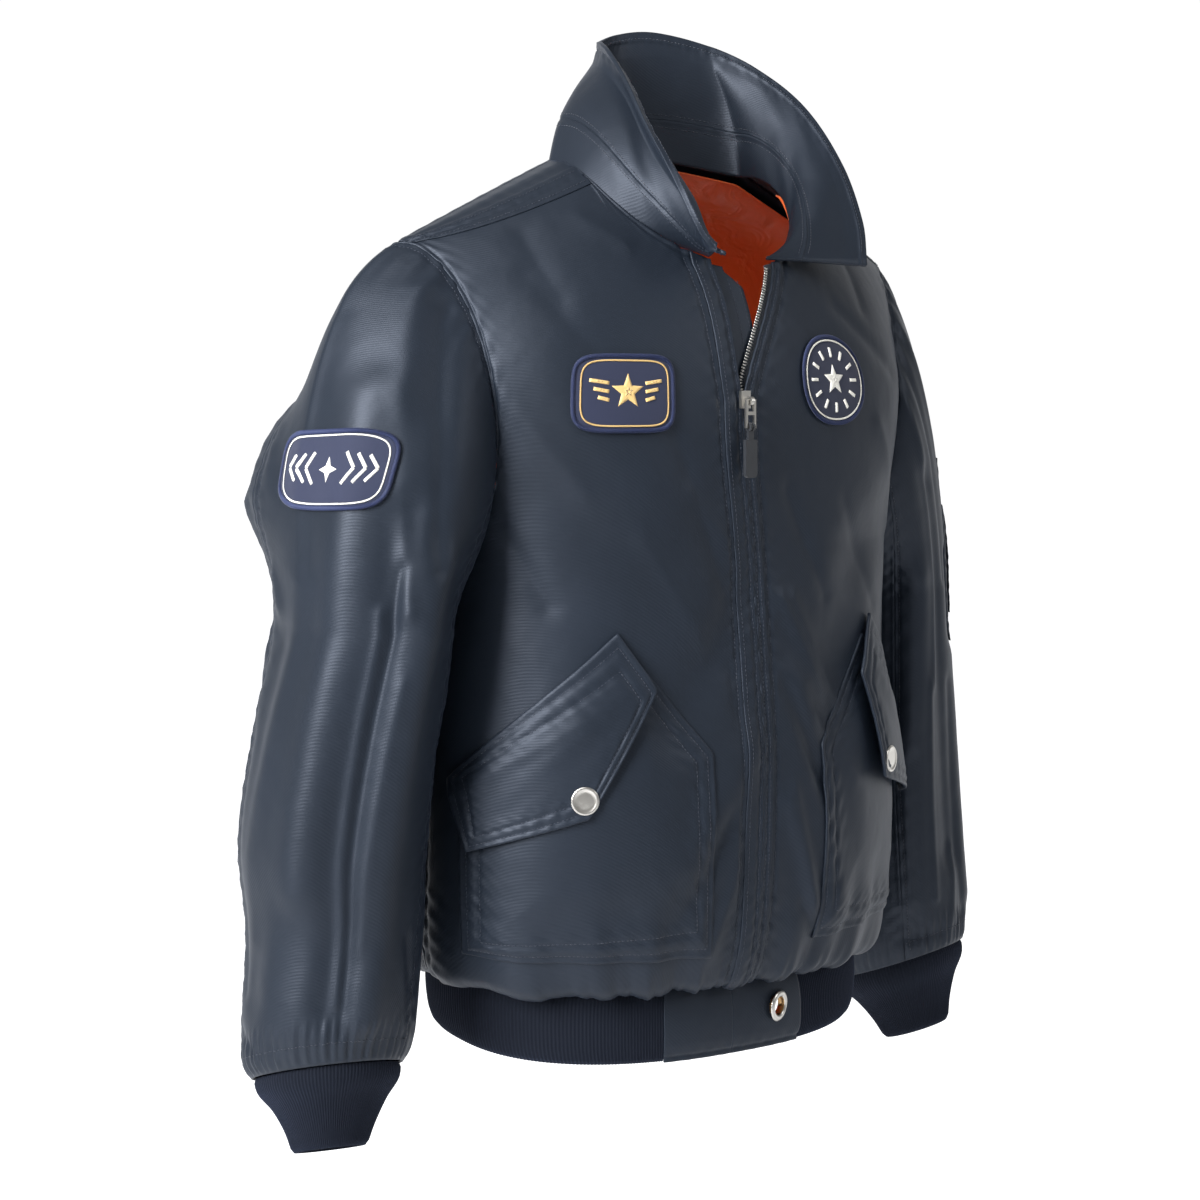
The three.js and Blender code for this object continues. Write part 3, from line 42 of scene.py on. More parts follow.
# A bomber jacket, filled out as worn. The cloth is worked out in millimetres in the packed
# part's frame (+X the wearer's left, -Y the front, +Z up) and made into meshes in metres.
MM = 0.001
SEAM = 0.3
NECK_HALF_WIDTH = 98
NECK_DROP_FRONT = 82
NECK_RISE_BACK = 14
SHOULDER_HALF_WIDTH = 240
SHOULDER_SLOPE = 0.5
UNDERARM_Z = -290
BODY_CENTRE_Y = 12
RIDGE_Y = 5
BODY_POWER = 2.4
CHEST_FULLNESS = 12
ARMHOLE_INSET = 24
SLIDER_Z = -184
OPEN_HALF_GAP = 30
PLACKET = {-1: 16, 1: 9}
ZIP_TAPE_SHOWN = 6
WIND_FLAP_SHOWN = 25
STAND_SHARE = 0.3
LEAF_START = 0.312
COLLAR_SETBACK = 1.8
COLLAR_ROLL = 20
ARMHOLE_TUCK = 1.0
HEM_TAB_WIDTH = {-1: 53, 1: 64}


def columns(names, rows):
    """A table with named columns."""
    return {name: np.array(values, float) for name, values in zip(names.split(), zip(*rows))}


BODY_SECTIONS = columns("v z half front back tilt lean", [
    (0, -599, 184, -97, 131, 0.05, -0.015),
    (0.03, -612, 194, -107, 138, 0.05, -0.015),
    (0.07, -602, 205, -120, 146, 0.05, -0.015),
    (0.16, -560, 210, -131, 149, 0.05, -0.01),
    (0.35, -460, 209, -135, 146, 0.03, 0),
    (0.6, -370, 206, -130, 138, 0.01, 0),
    (1, -290, 205, -126, 135, 0, 0),
])
ZIP_LINE = columns("z x", [
    (-670, -8), (-560, -7), (-420, -6), (-300, -9), (-184, -21), (-82, 0), (0, 0),
])
SLEEVE_RINGS = {
    -1: columns("down x y rx ry tip rock", [
        (345, -266, 2, 55, 84, 0, 0),
        (420, -275, 9, 63, 80, 0, 0),
        (500, -282, 15, 67, 76, 0, 0),
        (560, -284, 12, 62, 68, 0.1, 0.03),
        (620, -289, 10, 62, 64, 0.28, 0.08),
        (650, -291, 10, 59, 60, 0.34, 0.1),
        (661, -291, 10, 53, 56, 0.34, 0.1),
    ]),
    1: columns("down x y rx ry tip rock", [
        (345, 258, 28, 48, 74, 0, 0),
        (420, 264, 30, 52, 72, 0, 0),
        (500, 272, 32, 56, 68, 0, 0),
        (560, 278, 32, 57, 66, 0.1, 0.05),
        (620, 284, 31, 58, 63, 0.26, 0.12),
        (652, 289, 30, 58, 60, 0.32, 0.16),
        (663, 291, 30, 55, 56, 0.32, 0.16),
    ]),
}
SLEEVE_CAPS = {
    -1: {"middle": 0.6, "top": 0.38, "reach": 1},
    1: {"middle": 0.34, "top": 0.12, "reach": 0.66},
}
CUFF_PROFILE = columns("w share", [(0, 0.98), (0.2, 0.93), (0.42, 0.76), (0.72, 0.6), (1, 0.5)])
CUFF_LENGTH = {-1: 56, 1: 64}
CUFF_DRIFT = {-1: -2, 1: 22}
HEM_BAND = columns("w z half front back tilt lean", [
    (0, -599.8, 182, -94, 129, 0.05, -0.015),
    (0.35, -624, 184, -101, 131, 0.06, -0.017),
    (0.75, -648, 182, -102, 130, 0.08, -0.02),
    (1, -661, 178, -99, 127, 0.09, -0.02),
])
COLLAR_EDGE = columns("u x y z bow curl", [
    (-1, -66, -142, -74, 2, 110),
    (-0.86, -64, -130, -28, 4, 140),
    (-0.7, -59, -73, 23, 7, 140),
    (-0.5, -46, -30, 63, 9, 120),
    (-0.36, -36, 10, 90, 8, 60),
    (-0.18, -18, 48, 102, 5, 15),
    (0, 8, 62, 112, 4, 0),
    (0.18, 42, 56, 116, 4, 0),
    (0.36, 84, 36, 106, 5, 0),
    (0.5, 107, 8, 88, 6, 0),
    (0.7, 127, -32, 52, 5, 0),
    (0.86, 131, -72, 2, 4, 0),
    (0.95, 126, -100, -46, 3, 0),
    (1, 113, -118, -79, 2, 0),
])

# Creases and folds between two places of a round form, by angle and height, with their half
# width and height: ridges (+) and troughs (-). The first rows of each table are the solids' own.
FOLD = "angle0 z0 angle1 z1 width height"
BODY_FOLDS = columns(FOLD, [
    (-62, -150, -20, -330, 34, 4),
    (-80, -300, -34, -380, 26, -3),
    (-30, -420, -10, -330, 22, -4),
    (-28, -520, -8, -440, 20, 4),
    (26, -560, 12, -400, 22, 5),
    (40, -300, 24, -430, 28, -4),
    (60, -400, 58, -540, 62, -5),
    (66, -180, 30, -300, 34, 3),
    (120, -330, 160, -520, 30, 5),
    (205, -540, 240, -340, 32, -5),
    (150, -200, 175, -360, 34, -4),
    (190, -250, 215, -420, 30, 4),
])
BODY_CREASES = columns(FOLD, [
    (-70, -60, -58, -110, 7, -1.6),
    (-66, -92, -50, -150, 8, -1.4),
    (-60, -48, -44, -70, 6, 1.2),
    (-74, -150, -52, -250, 9, 1.6),
    (-80, -215, -60, -330, 8, -1.8),
    (-30, -210, -14, -330, 9, -1.6),
    (-26, -250, -10, -300, 7, 1.3),
    (-40, -280, -22, -360, 9, 1.2),
    (-12, -380, -6, -520, 7, -1.5),
    (-24, -560, -12, -500, 6, 1.4),
    (-34, -575, -30, -530, 6, -1.3),
    (10, -250, 26, -330, 7, -1.6),
    (12, -330, 30, -420, 8, 2.0),
    (10, -400, 24, -500, 7, -1.8),
    (9, -470, 20, -580, 6, 1.8),
    (18, -420, 34, -470, 6, 1.5),
    (14, -560, 26, -600, 6, -1.4),
    (40, -110, 60, -160, 8, -1.6),
    (48, -200, 64, -280, 8, 1.6),
    (62, -60, 54, -110, 7, -1.4),
    (34, -260, 50, -340, 7, -1.3),
    (66, -300, 60, -380, 8, -1.8),
    (110, -200, 130, -330, 10, -2.0),
    (128, -300, 168, -420, 10, 2.2),
    (140, -420, 186, -520, 9, -2.0),
    (160, -120, 176, -220, 10, 1.6),
    (184, -180, 204, -330, 10, -2.0),
    (196, -360, 226, -520, 10, 2.2),
    (210, -200, 236, -320, 9, -1.8),
    (150, -520, 176, -590, 7, 1.6),
    (-8, -500, -20, -585, 9, 3.2),
    (-14, -490, -30, -560, 8, -2.8),
    (7, -330, 22, -400, 8, 2.8),
    (7, -395, 20, -470, 8, -2.6),
    (7, -480, 18, -560, 8, 2.8),
    (196, -560, 228, -590, 7, -1.6),
])
SLEEVE_FOLDS = {
    -1: columns(FOLD, [
        (-66, -226, -62, -250, 46, 38),
        (28, -180, 34, -520, 17, 6),
        (62, -260, 58, -600, 16, -6),
        (95, -300, 84, -610, 17, 5),
        (-12, -360, -4, -600, 16, -3),
        (20, -640, 110, -640, 10, -4),
        (200, -420, 170, -560, 18, 4),
        (285, -480, 240, -560, 16, -5),
        (160, -440, 166, -500, 34, -8),
    ]),
    1: columns(FOLD, [
        (-72, -225, -68, -280, 40, 12),
        (40, -400, 50, -600, 17, 5),
        (80, -250, 76, -560, 16, -5),
        (108, -330, 120, -600, 16, 5),
        (15, -640, 120, -636, 10, -4),
        (190, -440, 170, -570, 18, 4),
        (280, -470, 235, -550, 16, -5),
        (150, -440, 156, -500, 34, -6),
    ]),
}
SLEEVE_CREASES = {
    -1: columns(FOLD, [
        (26, -104, 74, -330, 8, 3.2),
        (40, -112, 92, -300, 7, -2.6),
        (2, -120, 8, -300, 9, -2.0),
        (56, -330, 62, -600, 5, 2.4),
        (66, -300, 68, -620, 5, -2.6),
        (78, -380, 72, -560, 6, 1.8),
        (4, -310, -8, -560, 12, 2.6),
        (-34, -340, -58, -400, 8, 3.0),
        (-40, -372, -62, -430, 8, -2.6),
        (-50, -520, -66, -570, 7, 2.4),
        (-44, -190, -20, -250, 7, 2.6),
        (-60, -210, -34, -300, 6, -3.0),
        (-50, -262, -20, -330, 6, 2.6),
        (-30, -420, -20, -600, 7, -1.8),
        (30, -652, 100, -650, 4, 1.6),
        (-20, -630, 20, -648, 5, -1.6),
        (110, -560, 130, -630, 5, -1.6),
        (230, -300, 250, -420, 8, 2.0),
        (250, -420, 220, -540, 8, -2.2),
        (200, -560, 230, -620, 7, 1.8),
    ]),
    1: columns(FOLD, [
        (20, -110, 26, -300, 6, -2.0),
        (44, -110, 46, -300, 6, 2.0),
        (64, -140, 60, -330, 6, -1.8),
        (84, -180, 88, -420, 6, 1.8),
        (60, -420, 64, -620, 6, -1.8),
        (94, -420, 98, -600, 5, 1.6),
        (112, -480, 116, -620, 6, -1.8),
        (70, -560, 84, -640, 5, 1.6),
        (-20, -160, -10, -300, 7, -2.0),
        (-50, -210, -24, -300, 7, 2.2),
        (-30, -420, -20, -600, 7, -1.8),
        (230, -300, 250, -420, 8, 2.0),
        (250, -420, 220, -540, 8, -2.2),
        (30, -650, 100, -648, 4, 1.4),
    ]),
}


# Hand pockets: corners as [girth angle, height], as in the part's own solids
POCKETS = {
    -1: {
        "flap": {"back": (-81, -456), "top": (-45, -350), "point": (-36, -391),
                 "nose": (-51, -480), "foot": (-75, -506)},
        "bag": {"near_top": (-42, -365), "near_bend": (-20, -439), "far_top": (-78, -474)},
        "stand": 0,
    },
    1: {
        "flap": {"back": (81, -456), "top": (46, -348), "point": (37, -391),
                 "nose": (42, -472), "foot": (72, -500)},
        "bag": {"near_top": (43, -363), "near_bend": (20.5, -441), "far_top": (78, -474)},
        "stand": 8,
    },
}
POCKET_FOOT_Z = -588
POCKET_WIDTH = 165
POCKET_HEIGHT = 150
FLAP_WIDTH = 150
FLAP_HEIGHT = 100
SNAP_PLACE = (0.86, 0.14)
CHEST_PATCHES = {
    -1: {"angle": -43, "z": -178, "half_width": 39, "half_height": 27, "power": 5},
    1: {"angle": 28.7, "z": -167, "half_width": 36, "half_height": 33, "power": 2.2},
}
SLEEVE_PATCH = {"angle": 18, "z": -232, "half_width": 54, "half_height": 27, "power": 4}
SLEEVE_POCKET = {"angle": 4, "z": -328, "half_width": 50, "half_height": 58, "puff": 7}
PEN_POCKET = {"x": 22, "z": 31, "half_width": 17, "half_height": 66}
EYELET_X = 43
EYELET_W = 0.5
EYELET_HOLE = 8.2
STITCH_PITCH = 3.2
TOOTH_PITCH = 2.4


# Small sums
def mix(a, b, t):
    return a + (b - a) * t


def smooth(t):
    t = np.clip(t, 0, 1)
    return t * t * (3 - 2 * t)


def unit(v):
    return v / np.maximum(np.linalg.norm(v, axis=-1, keepdims=True), 1e-12)


def point(x, y, z):
    return np.stack(np.broadcast_arrays(x, y, z), axis=-1).astype(float)


def look_up(table, key, at, column):
    """A table column read between its rows, as a smooth curve through them."""
    keys, values = table[key], table[column]
    at = np.asarray(at, float)
    last = len(keys) - 1
    i = np.searchsorted(keys[1:-1], at, side="left")

    def slope(row):
        low, high = np.maximum(row - 1, 0), np.minimum(row + 1, last)
        return (values[high] - values[low]) / (keys[high] - keys[low])

    span = keys[i + 1] - keys[i]
    t = np.clip((at - keys[i]) / span, 0, 1)
    leave = t * (1 - t) ** 2 * span * slope(i)
    arrive = t * t * (t - 1) * span * slope(i + 1)
    return mix(values[i], values[i + 1], smooth(t)) + leave + arrive


def fold_height(folds, angle, z, radius, sharp=2.0):
    """Height of all folds of a table at places of a round form of the given radius."""
    per_degree = math.radians(1) * radius
    height = np.zeros(np.broadcast(angle, z).shape)
    for a0, z0, a1, z1, width, rise in zip(*(folds[name] for name in FOLD.split())):
        across = ((angle - a0 + 180) % 360 - 180) * per_degree
        up = z - z0
        along_x, along_z = (a1 - a0) * per_degree, z1 - z0
        t = np.clip((across * along_x + up * along_z) / (along_x**2 + along_z**2), 0, 1)
        away = np.hypot(across - t * along_x, up - t * along_z)
        height += rise * np.exp(-((away / width) ** sharp))
    return height


def gather(angle, waves):
    """Uneven gathers round an edge: the angle in degrees, the waves in a full turn."""
    turn = np.radians(angle)
    main = np.sin(waves * turn + 0.9 * np.sin(5 * turn))
    return 0.65 * main + 0.35 * np.sin(waves * 0.61 * turn + 1.3)


def puckers(away, along, width=9, pitch=11, height=0.55):
    """Small gathers beside a line of stitches: away from it and along it in millimetres."""
    wave = np.sin(2 * np.pi * along / pitch + 1.7 * np.sin(along / 23.0) + 0.35 * away)
    other = np.sin(2 * np.pi * along / (pitch * 1.63) + 2.3 * np.sin(along / 41.0) - 0.22 * away)
    pull = np.exp(-((np.abs(away) / width) ** 1.4))
    return height * pull * (0.6 * wave + 0.55 * other) - 0.9 * np.exp(-((away / 1.6) ** 2))


def crumple(a, b, scale):
    """Slow uneven waves of a cloth surface in two directions, about -1 to 1."""
    x, y = a / scale, b / scale
    first = np.sin(1.9 * x + 1.3 * np.sin(0.9 * y + 0.4)) * np.sin(0.8 * y + 0.7 * np.sin(1.1 * x))
    second = np.sin(3.1 * x - 1.2 * y + 1.1 * np.sin(1.7 * y)) * np.sin(1.9 * y + 0.6 * x + 2.0)
    return 0.6 * first + 0.4 * second


# Body skin
def section(v, column):
    return look_up(BODY_SECTIONS, "v", v, column)


def zip_x(z):
    return look_up(ZIP_LINE, "z", z, "x")


def edge_gap(z):
    share = np.clip((z - SLIDER_Z) / (-NECK_DROP_FRONT - SLIDER_Z), 0, 1)
    return OPEN_HALF_GAP * share**1.15


def lower_skin(angle, v):
    """Place on a level section at an angle from the front middle, positive to the left."""
    turn = np.radians(angle)
    cos = np.cos(turn)
    front = BODY_CENTRE_Y - section(v, "front")
    back = section(v, "back") - BODY_CENTRE_Y
    depth = np.where(cos > 0, front, back)
    across = np.abs(np.sin(turn) / section(v, "half")) ** BODY_POWER
    along = np.abs(cos / depth) ** BODY_POWER
    radius = (across + along) ** (-1 / BODY_POWER)
    x, y = radius * np.sin(turn), -radius * cos
    z = section(v, "z") + section(v, "tilt") * y + section(v, "lean") * x
    return point(x, BODY_CENTRE_Y + y, z)


def ridge_z(x):
    return (math.hypot(NECK_HALF_WIDTH, 30) - np.hypot(x, 30)) * SHOULDER_SLOPE


def upper_skin(x, h, face):
    """Place above the underarm: x across, h the share of the way up, face -1 front, 1 back."""
    h = np.clip(h, 0, None)
    half = 205 + 45 * h**1.5
    chest = CHEST_FULLNESS * np.sin(np.pi * h) ** 2
    depth = 138 + chest if face < 0 else 123
    power = 2 if face < 0 else 2.1
    across = np.maximum(0, 1 - np.abs(x / half) ** BODY_POWER) ** (1 / BODY_POWER)
    over = np.maximum(0, 1 - h**power) ** (1 / power)
    y = mix(BODY_CENTRE_Y, RIDGE_Y, h) + face * depth * across * over
    return point(x, y, mix(UNDERARM_Z, ridge_z(x), h))


def up_share(x, z):
    return (z - UNDERARM_Z) / (ridge_z(x) - UNDERARM_Z)


def top_of(share, face, start_x):
    """Where a front or back edge ends at the top: on the neckline or along the shoulder seam."""
    neck = 0.3 if face < 0 else 0.36
    along = np.clip((share - neck) / (1 - neck), 0, 1)
    if face > 0:
        near_x = NECK_HALF_WIDTH * share / neck
        near_z = NECK_RISE_BACK * (1 - (near_x / NECK_HALF_WIDTH) ** 2)
    else:
        start = np.arcsin(start_x / NECK_HALF_WIDTH)
        turn = mix(start, np.pi / 2, share / neck)
        near_x = NECK_HALF_WIDTH * np.sin(turn)
        near_z = -NECK_DROP_FRONT * np.cos(turn)
    x = np.where(share >= neck, mix(NECK_HALF_WIDTH, SHOULDER_HALF_WIDTH, along), near_x)
    return x, np.where(share >= neck, 1.0, up_share(near_x, near_z))


def body_form(side, share, v, face, start_x=None):
    """Smooth skin of one half front or back: share from the middle edge to the side, v from the
    hem (0) past the underarm (1) to the top (2)."""
    share, v = np.broadcast_arrays(np.asarray(share, float), np.asarray(v, float))
    if start_x is None:
        start_x = PLACKET[side] + SEAM if face < 0 else 0
    own = np.abs(share)
    level = np.minimum(v, 1)
    start_angle = 0
    if face < 0:
        depth = BODY_CENTRE_Y - section(level, "front")
        start_angle = np.degrees(np.arcsin((side * zip_x(section(level, "z")) + start_x) / depth))
    turn = mix(start_angle, 90, own) if face < 0 else 180 - 90 * own
    lower = lower_skin(side * turn, level)
    t = np.clip(v - 1, 0, 1)
    ones = np.ones_like(own)
    low_x = side * lower_skin(side * turn, ones)[..., 0]
    top_x, top_h = top_of(own, face, OPEN_HALF_GAP + start_x)
    inset = ARMHOLE_INSET * 4 * t * (1 - t) * own**2
    h = mix(t * top_h, (1 - np.cos(np.pi * t)) / 2, own**4)
    x = mix(low_x, top_x, smooth(t)) - inset
    if face < 0:
        edge_top_x, edge_top_h = top_of(np.zeros_like(own), face, OPEN_HALF_GAP + start_x)
        edge_x = mix(side * lower_skin(side * start_angle, ones)[..., 0], edge_top_x, smooth(t))
        edge_z = mix(UNDERARM_Z, ridge_z(edge_x), t * edge_top_h)
        wanted = side * zip_x(edge_z) + edge_gap(edge_z) + start_x
        x = x + (wanted - edge_x) * (1 - own) ** 2
    return np.where((v <= 1)[..., None], lower, upper_skin(side * x, h, face))


def outward(form, a, b, flip=1, top=np.inf):
    """Outward direction of a form at (a, b), from small steps both ways."""
    step = 0.004
    upper = np.minimum(b + step, top)
    along_a = form(a + step, b) - form(a - step, b)
    along_b = form(a, upper) - form(a, upper - 2 * step)
    return unit(np.cross(along_a, along_b)) * flip


def girth_angle(place):
    return np.degrees(np.arctan2(place[..., 0], BODY_CENTRE_Y - place[..., 1]))


def hem_bunch(angle, v):
    """Uneven gathers where the shell blouses over the hem band, fading upwards."""
    fine = 1.7 * gather(angle * 1.0, 73) + 0.9 * gather(angle + 11, 117)
    slow = 2.6 * gather(angle + 40, 23)
    patchy = 0.55 + 0.45 * np.sin(np.radians(angle * 3.7 + 25)) * np.sin(np.radians(angle * 1.3))
    low = smooth((0.13 - v) / 0.11)
    return (fine * patchy * low + slow * smooth((0.26 - v) / 0.2)) * smooth(v / 0.02)


def dress(place, normal, v, face, rise, extra=0.0):
    """Moves places of the body outwards by its folds, its gathers over the hem, and rise."""
    angle = girth_angle(place)
    fade = smooth((2 - v) / 0.25) * smooth(v / 0.12)
    bunch = hem_bunch(angle, v)
    height = fade * fold_height(BODY_FOLDS, angle, place[..., 2], 165) + bunch
    moved = place + normal * (height + rise + extra)[..., None]
    moved[..., 1] += face * SEAM / 2
    return moved


def seam_distances(share, v):
    """Rough distances in millimetres from a panel's seams: middle edge, side or armhole, top."""
    return share * 230, (1 - share) * 215, (2 - v) * 300


def body_detail(side, share, v, face, place):
    """Fine creases and seam puckers of a body panel."""
    middle, outer, top = seam_distances(share, v)
    angle, z = girth_angle(place), place[..., 2]
    free = smooth(outer / 14) * smooth(top / 22) * smooth(v / 0.05)
    free = free * (smooth(middle / 10) if face < 0 else 1)
    height = free * fold_height(BODY_CREASES, angle, z, 165, 1.6)
    height = height + free * 0.5 * crumple(angle * 2.9, z, 52)
    line = side * 1000 + z
    if face < 0:
        height = height + puckers(middle - 4, line, 10, 12, 0.5)
    height = height + puckers(outer - 5, line * (1 if face < 0 else 0.9) + 37, 12, 13, 0.7)
    across = side * place[..., 0]
    height = height + np.where(v > 1.5, puckers(top - 5, across * 1.1, 9, 14, 0.2), 0)
    return height


def body_point(side, share, v, face, rise=0.0, detail=0.0):
    share, v, rise = np.broadcast_arrays(*(np.asarray(q, float) for q in (share, v, rise)))

    def form(a, b):
        return body_form(side, a, b, face)

    own = np.clip(share, 0.004, 0.994)
    normal = outward(form, own, np.maximum(v, 0.004), -side * face, 2)
    base = form(share, v)
    extra = detail * body_detail(side, share, v, face, base) if detail else 0.0
    place = dress(base, normal, v, face, rise, extra)
    seam_y = np.where(place[..., 2] > UNDERARM_Z, RIDGE_Y, BODY_CENTRE_Y) + face * SEAM / 2
    near = (v > 1.9) | ((v < 1) & (share > 0.98))
    over = near & ((place[..., 1] - seam_y) * face < 0)
    place[..., 1] = np.where(over, seam_y, place[..., 1])
    return place


def edge_point(side, inset, v, rise=0.0, detail=0.0):
    """The strip of body beside a front edge: inset millimetres from that edge."""
    inset, v, rise = np.broadcast_arrays(*(np.asarray(q, float) for q in (inset, v, rise)))

    def form(a, b):
        return body_form(side, np.zeros_like(a), b, -1, a * 100)

    normal = outward(form, inset / 100, np.maximum(v, 0.004), side, 2)
    place = form(inset / 100, v)
    line = side * 1000 + place[..., 2]
    extra = detail * (puckers(inset - 4, line, 8, 12, 0.5) + 0.3 * crumple(inset * 3, line, 30))
    return dress(place, normal, v, -1, rise, extra)


def front_at(side, angle, z, rise=0.0, detail=0.0):
    """The front at a girth angle and height, found by a few corrected guesses."""
    angle, z, rise = np.broadcast_arrays(*(np.asarray(q, float) for q in (angle, z, rise)))
    share = np.clip(np.abs(angle) / 90, 0.05, 0.97)
    v = np.where(z < UNDERARM_Z, np.clip((z + 610) / 320, 0.1, 1), 1 + (z + 290) / 300)
    step = 0.002
    for _ in range(10):
        here = body_form(side, share, v, -1)
        across = body_form(side, share + step, v, -1)
        up = body_form(side, share, v + step, -1)
        miss_a, miss_z = angle - girth_angle(here), z - here[..., 2]
        a11 = (girth_angle(across) - girth_angle(here)) / step
        a12 = (girth_angle(up) - girth_angle(here)) / step
        a21 = (across[..., 2] - here[..., 2]) / step
        a22 = (up[..., 2] - here[..., 2]) / step
        whole = a11 * a22 - a12 * a21
        share = np.clip(share + (miss_a * a22 - a12 * miss_z) / whole, 0.001, 0.998)
        v = np.clip(v + (a11 * miss_z - miss_a * a21) / whole, 0.05, 1.99)
    return body_point(side, share, v, -1, rise, detail)


# Sleeves
def armhole_loop(side):
    """The armhole's edge by its own length: 0 at the shoulder, 0.5 at the underarm, front first."""
    levels = np.linspace(1, 2, 200)
    front = body_point(side, np.full(200, 0.9995), levels[::-1], -1)
    back = body_point(side, np.full(200, 0.9995), levels, 1)
    points = np.concatenate([front, back])
    lengths = np.concatenate([[0], np.cumsum(np.linalg.norm(np.diff(points, axis=0), axis=1))])
    lengths /= lengths[-1]

    def place(share):
        share = share % 1
        return np.stack([np.interp(share, lengths, points[:, k]) for k in range(3)], axis=-1)

    return place


ARMHOLES = {side: armhole_loop(side) for side in (-1, 1)}


def ring_point(side, angle, down):
    rings = {name: look_up(SLEEVE_RINGS[side], "down", down, name)
             for name in ("x", "y", "rx", "ry", "tip", "rock")}
    turn = np.radians(angle)
    across, along = rings["rx"] * np.cos(turn), rings["ry"] * np.sin(turn)
    z = -down + rings["tip"] * along + rings["rock"] * across
    return point(rings["x"] + side * across, rings["y"] - along, z)


def sleeve_form(side, angle, v):
    """Smooth sleeve: angle 0 faces out, 90 the front; v 0 at the armhole, 2 at the cuff seam."""
    angle, v = np.broadcast_arrays(np.asarray(angle, float), np.asarray(v, float))
    first, last = SLEEVE_RINGS[side]["down"][0], SLEEVE_RINGS[side]["down"][-1]
    ring = ring_point(side, angle, mix(first, last, np.clip(v - 1, 0, None)))
    turn = np.radians(angle)
    start = ARMHOLES[side](angle / 360)
    end = ring_point(side, angle, np.full_like(angle, first))
    cap = SLEEVE_CAPS[side]
    leave = unit(point(side * (cap["middle"] + cap["top"] * np.cos(turn)),
                       -0.5 * np.sin(turn), -0.75 + 0.2 * np.cos(turn)))
    reach = (cap["reach"] * np.linalg.norm(end - start, axis=-1))[..., None]
    start = start - leave * ARMHOLE_TUCK
    t = np.clip(v, 0, 1)[..., None]
    place = mix(start, end, smooth(t)) + leave * reach * t * (1 - t) ** 2
    place = place + np.array([side * 0.05, 0, -1.0]) * reach * t * t * (t - 1)
    return np.where((v >= 1)[..., None], ring, place)


SLEEVE_SEAMS = {"back": -36, "front": 128}


def sleeve_detail(side, angle, v, z, seams):
    """Fine creases, head pleats, seam puckers and cuff gathers of a sleeve piece."""
    down = v * 330
    free = smooth(down / 26) * smooth((2 - v) * 300 / 24)
    away = np.minimum(np.abs(angle - seams[0]), np.abs(angle - seams[1])) * 1.2
    inner = free * smooth(away / 12) * calm_by_patch(side, angle, z)
    height = inner * fold_height(SLEEVE_CREASES[side], angle, z, 70, 1.8)
    height = height + inner * (0.45 * crumple(angle * 1.3, z, 64) + 0.2 * crumple(angle * 1.3 + 40, z, 23))
    head = smooth((70 - down) / 60) * smooth(down / 8) * smooth(1.1 - np.abs(angle - 10) / 80)
    height = height + 0.8 * head * gather(angle, 41)
    cuff_band = smooth((v - 1.88) / 0.06) * smooth((2 - v) / 0.015)
    height = height + (1.1 * gather(angle, 53) + 0.5 * gather(angle + 20, 91)) * cuff_band
    height = height + free * puckers(away - 4, z + 11 * side, 9, 12, 0.6)
    return height + puckers(down - 5, angle * 1.5, 9, 12, 0.5)


def calm_by_patch(side, angle, z):
    """Share of the creases left where a sewn-on patch stiffens the sleeve."""
    if side > 0:
        return np.ones(np.broadcast(angle, z).shape)
    across, up = (angle - SLEEVE_PATCH["angle"]) * 1.25, z - SLEEVE_PATCH["z"]
    return 1 - 0.75 * np.exp(-((across / 62) ** 4) - (up / 36) ** 4)


def sleeve_point(side, angle, v, rise=0.0, seams=None):
    angle, v, rise = np.broadcast_arrays(*(np.asarray(q, float) for q in (angle, v, rise)))

    def form(a, b):
        return sleeve_form(side, a * 360, b)

    normal = outward(form, angle / 360, np.maximum(v, 0.008), side, 2)
    place = sleeve_form(side, angle, v)
    fade = smooth(v / 0.3) * smooth((2 - v) / 0.08)
    height = fade * fold_height(SLEEVE_FOLDS[side], angle, place[..., 2], 70)
    if seams is not None:
        height = height + sleeve_detail(side, angle, v, place[..., 2], seams)
    return place + normal * (height + rise)[..., None]


def sleeve_at(side, angle, z, rise=0.0, seams=None):
    """The sleeve at an angle and a height, moved out by rise."""
    angle, z, rise = np.broadcast_arrays(*(np.asarray(q, float) for q in (angle, z, rise)))
    low, high = np.zeros(angle.shape), np.full(angle.shape, 2.0)
    for _ in range(22):
        v = (low + high) / 2
        above = sleeve_form(side, angle, v)[..., 2] > z
        low, high = np.where(above, v, low), np.where(above, high, v)
    return sleeve_point(side, angle, (low + high) / 2, rise, seams)


def cuff_point(side, angle, w, rise=0.0):
    rings = SLEEVE_RINGS[side]
    end = {name: rings[name][-1] for name in rings}
    share = look_up(CUFF_PROFILE, "w", w, "share")
    turn = np.radians(angle)
    across = (end["rx"] * share + rise) * np.cos(turn)
    along = (end["ry"] * share + rise) * np.sin(turn)
    z = -end["down"] - 2 * SEAM - w * CUFF_LENGTH[side] + end["tip"] * along + end["rock"] * across
    return point(end["x"] + side * (across + CUFF_DRIFT[side] * w), end["y"] - along, z)


# Hem band
def hem_point(angle, w, rise=0.0):
    turn = np.radians(angle)
    cos = np.cos(turn)
    row = {name: look_up(HEM_BAND, "w", w, name) for name in ("z", "half", "front", "back", "tilt", "lean")}
    depth = np.where(cos > 0, BODY_CENTRE_Y - row["front"], row["back"] - BODY_CENTRE_Y)
    across = np.abs(np.sin(turn) / (row["half"] + rise)) ** BODY_POWER
    along = np.abs(cos / (depth + rise)) ** BODY_POWER
    radius = (across + along) ** (-1 / BODY_POWER)
    x, y = radius * np.sin(turn), -radius * cos
    return point(x, BODY_CENTRE_Y + y, row["z"] + row["tilt"] * y + row["lean"] * x)


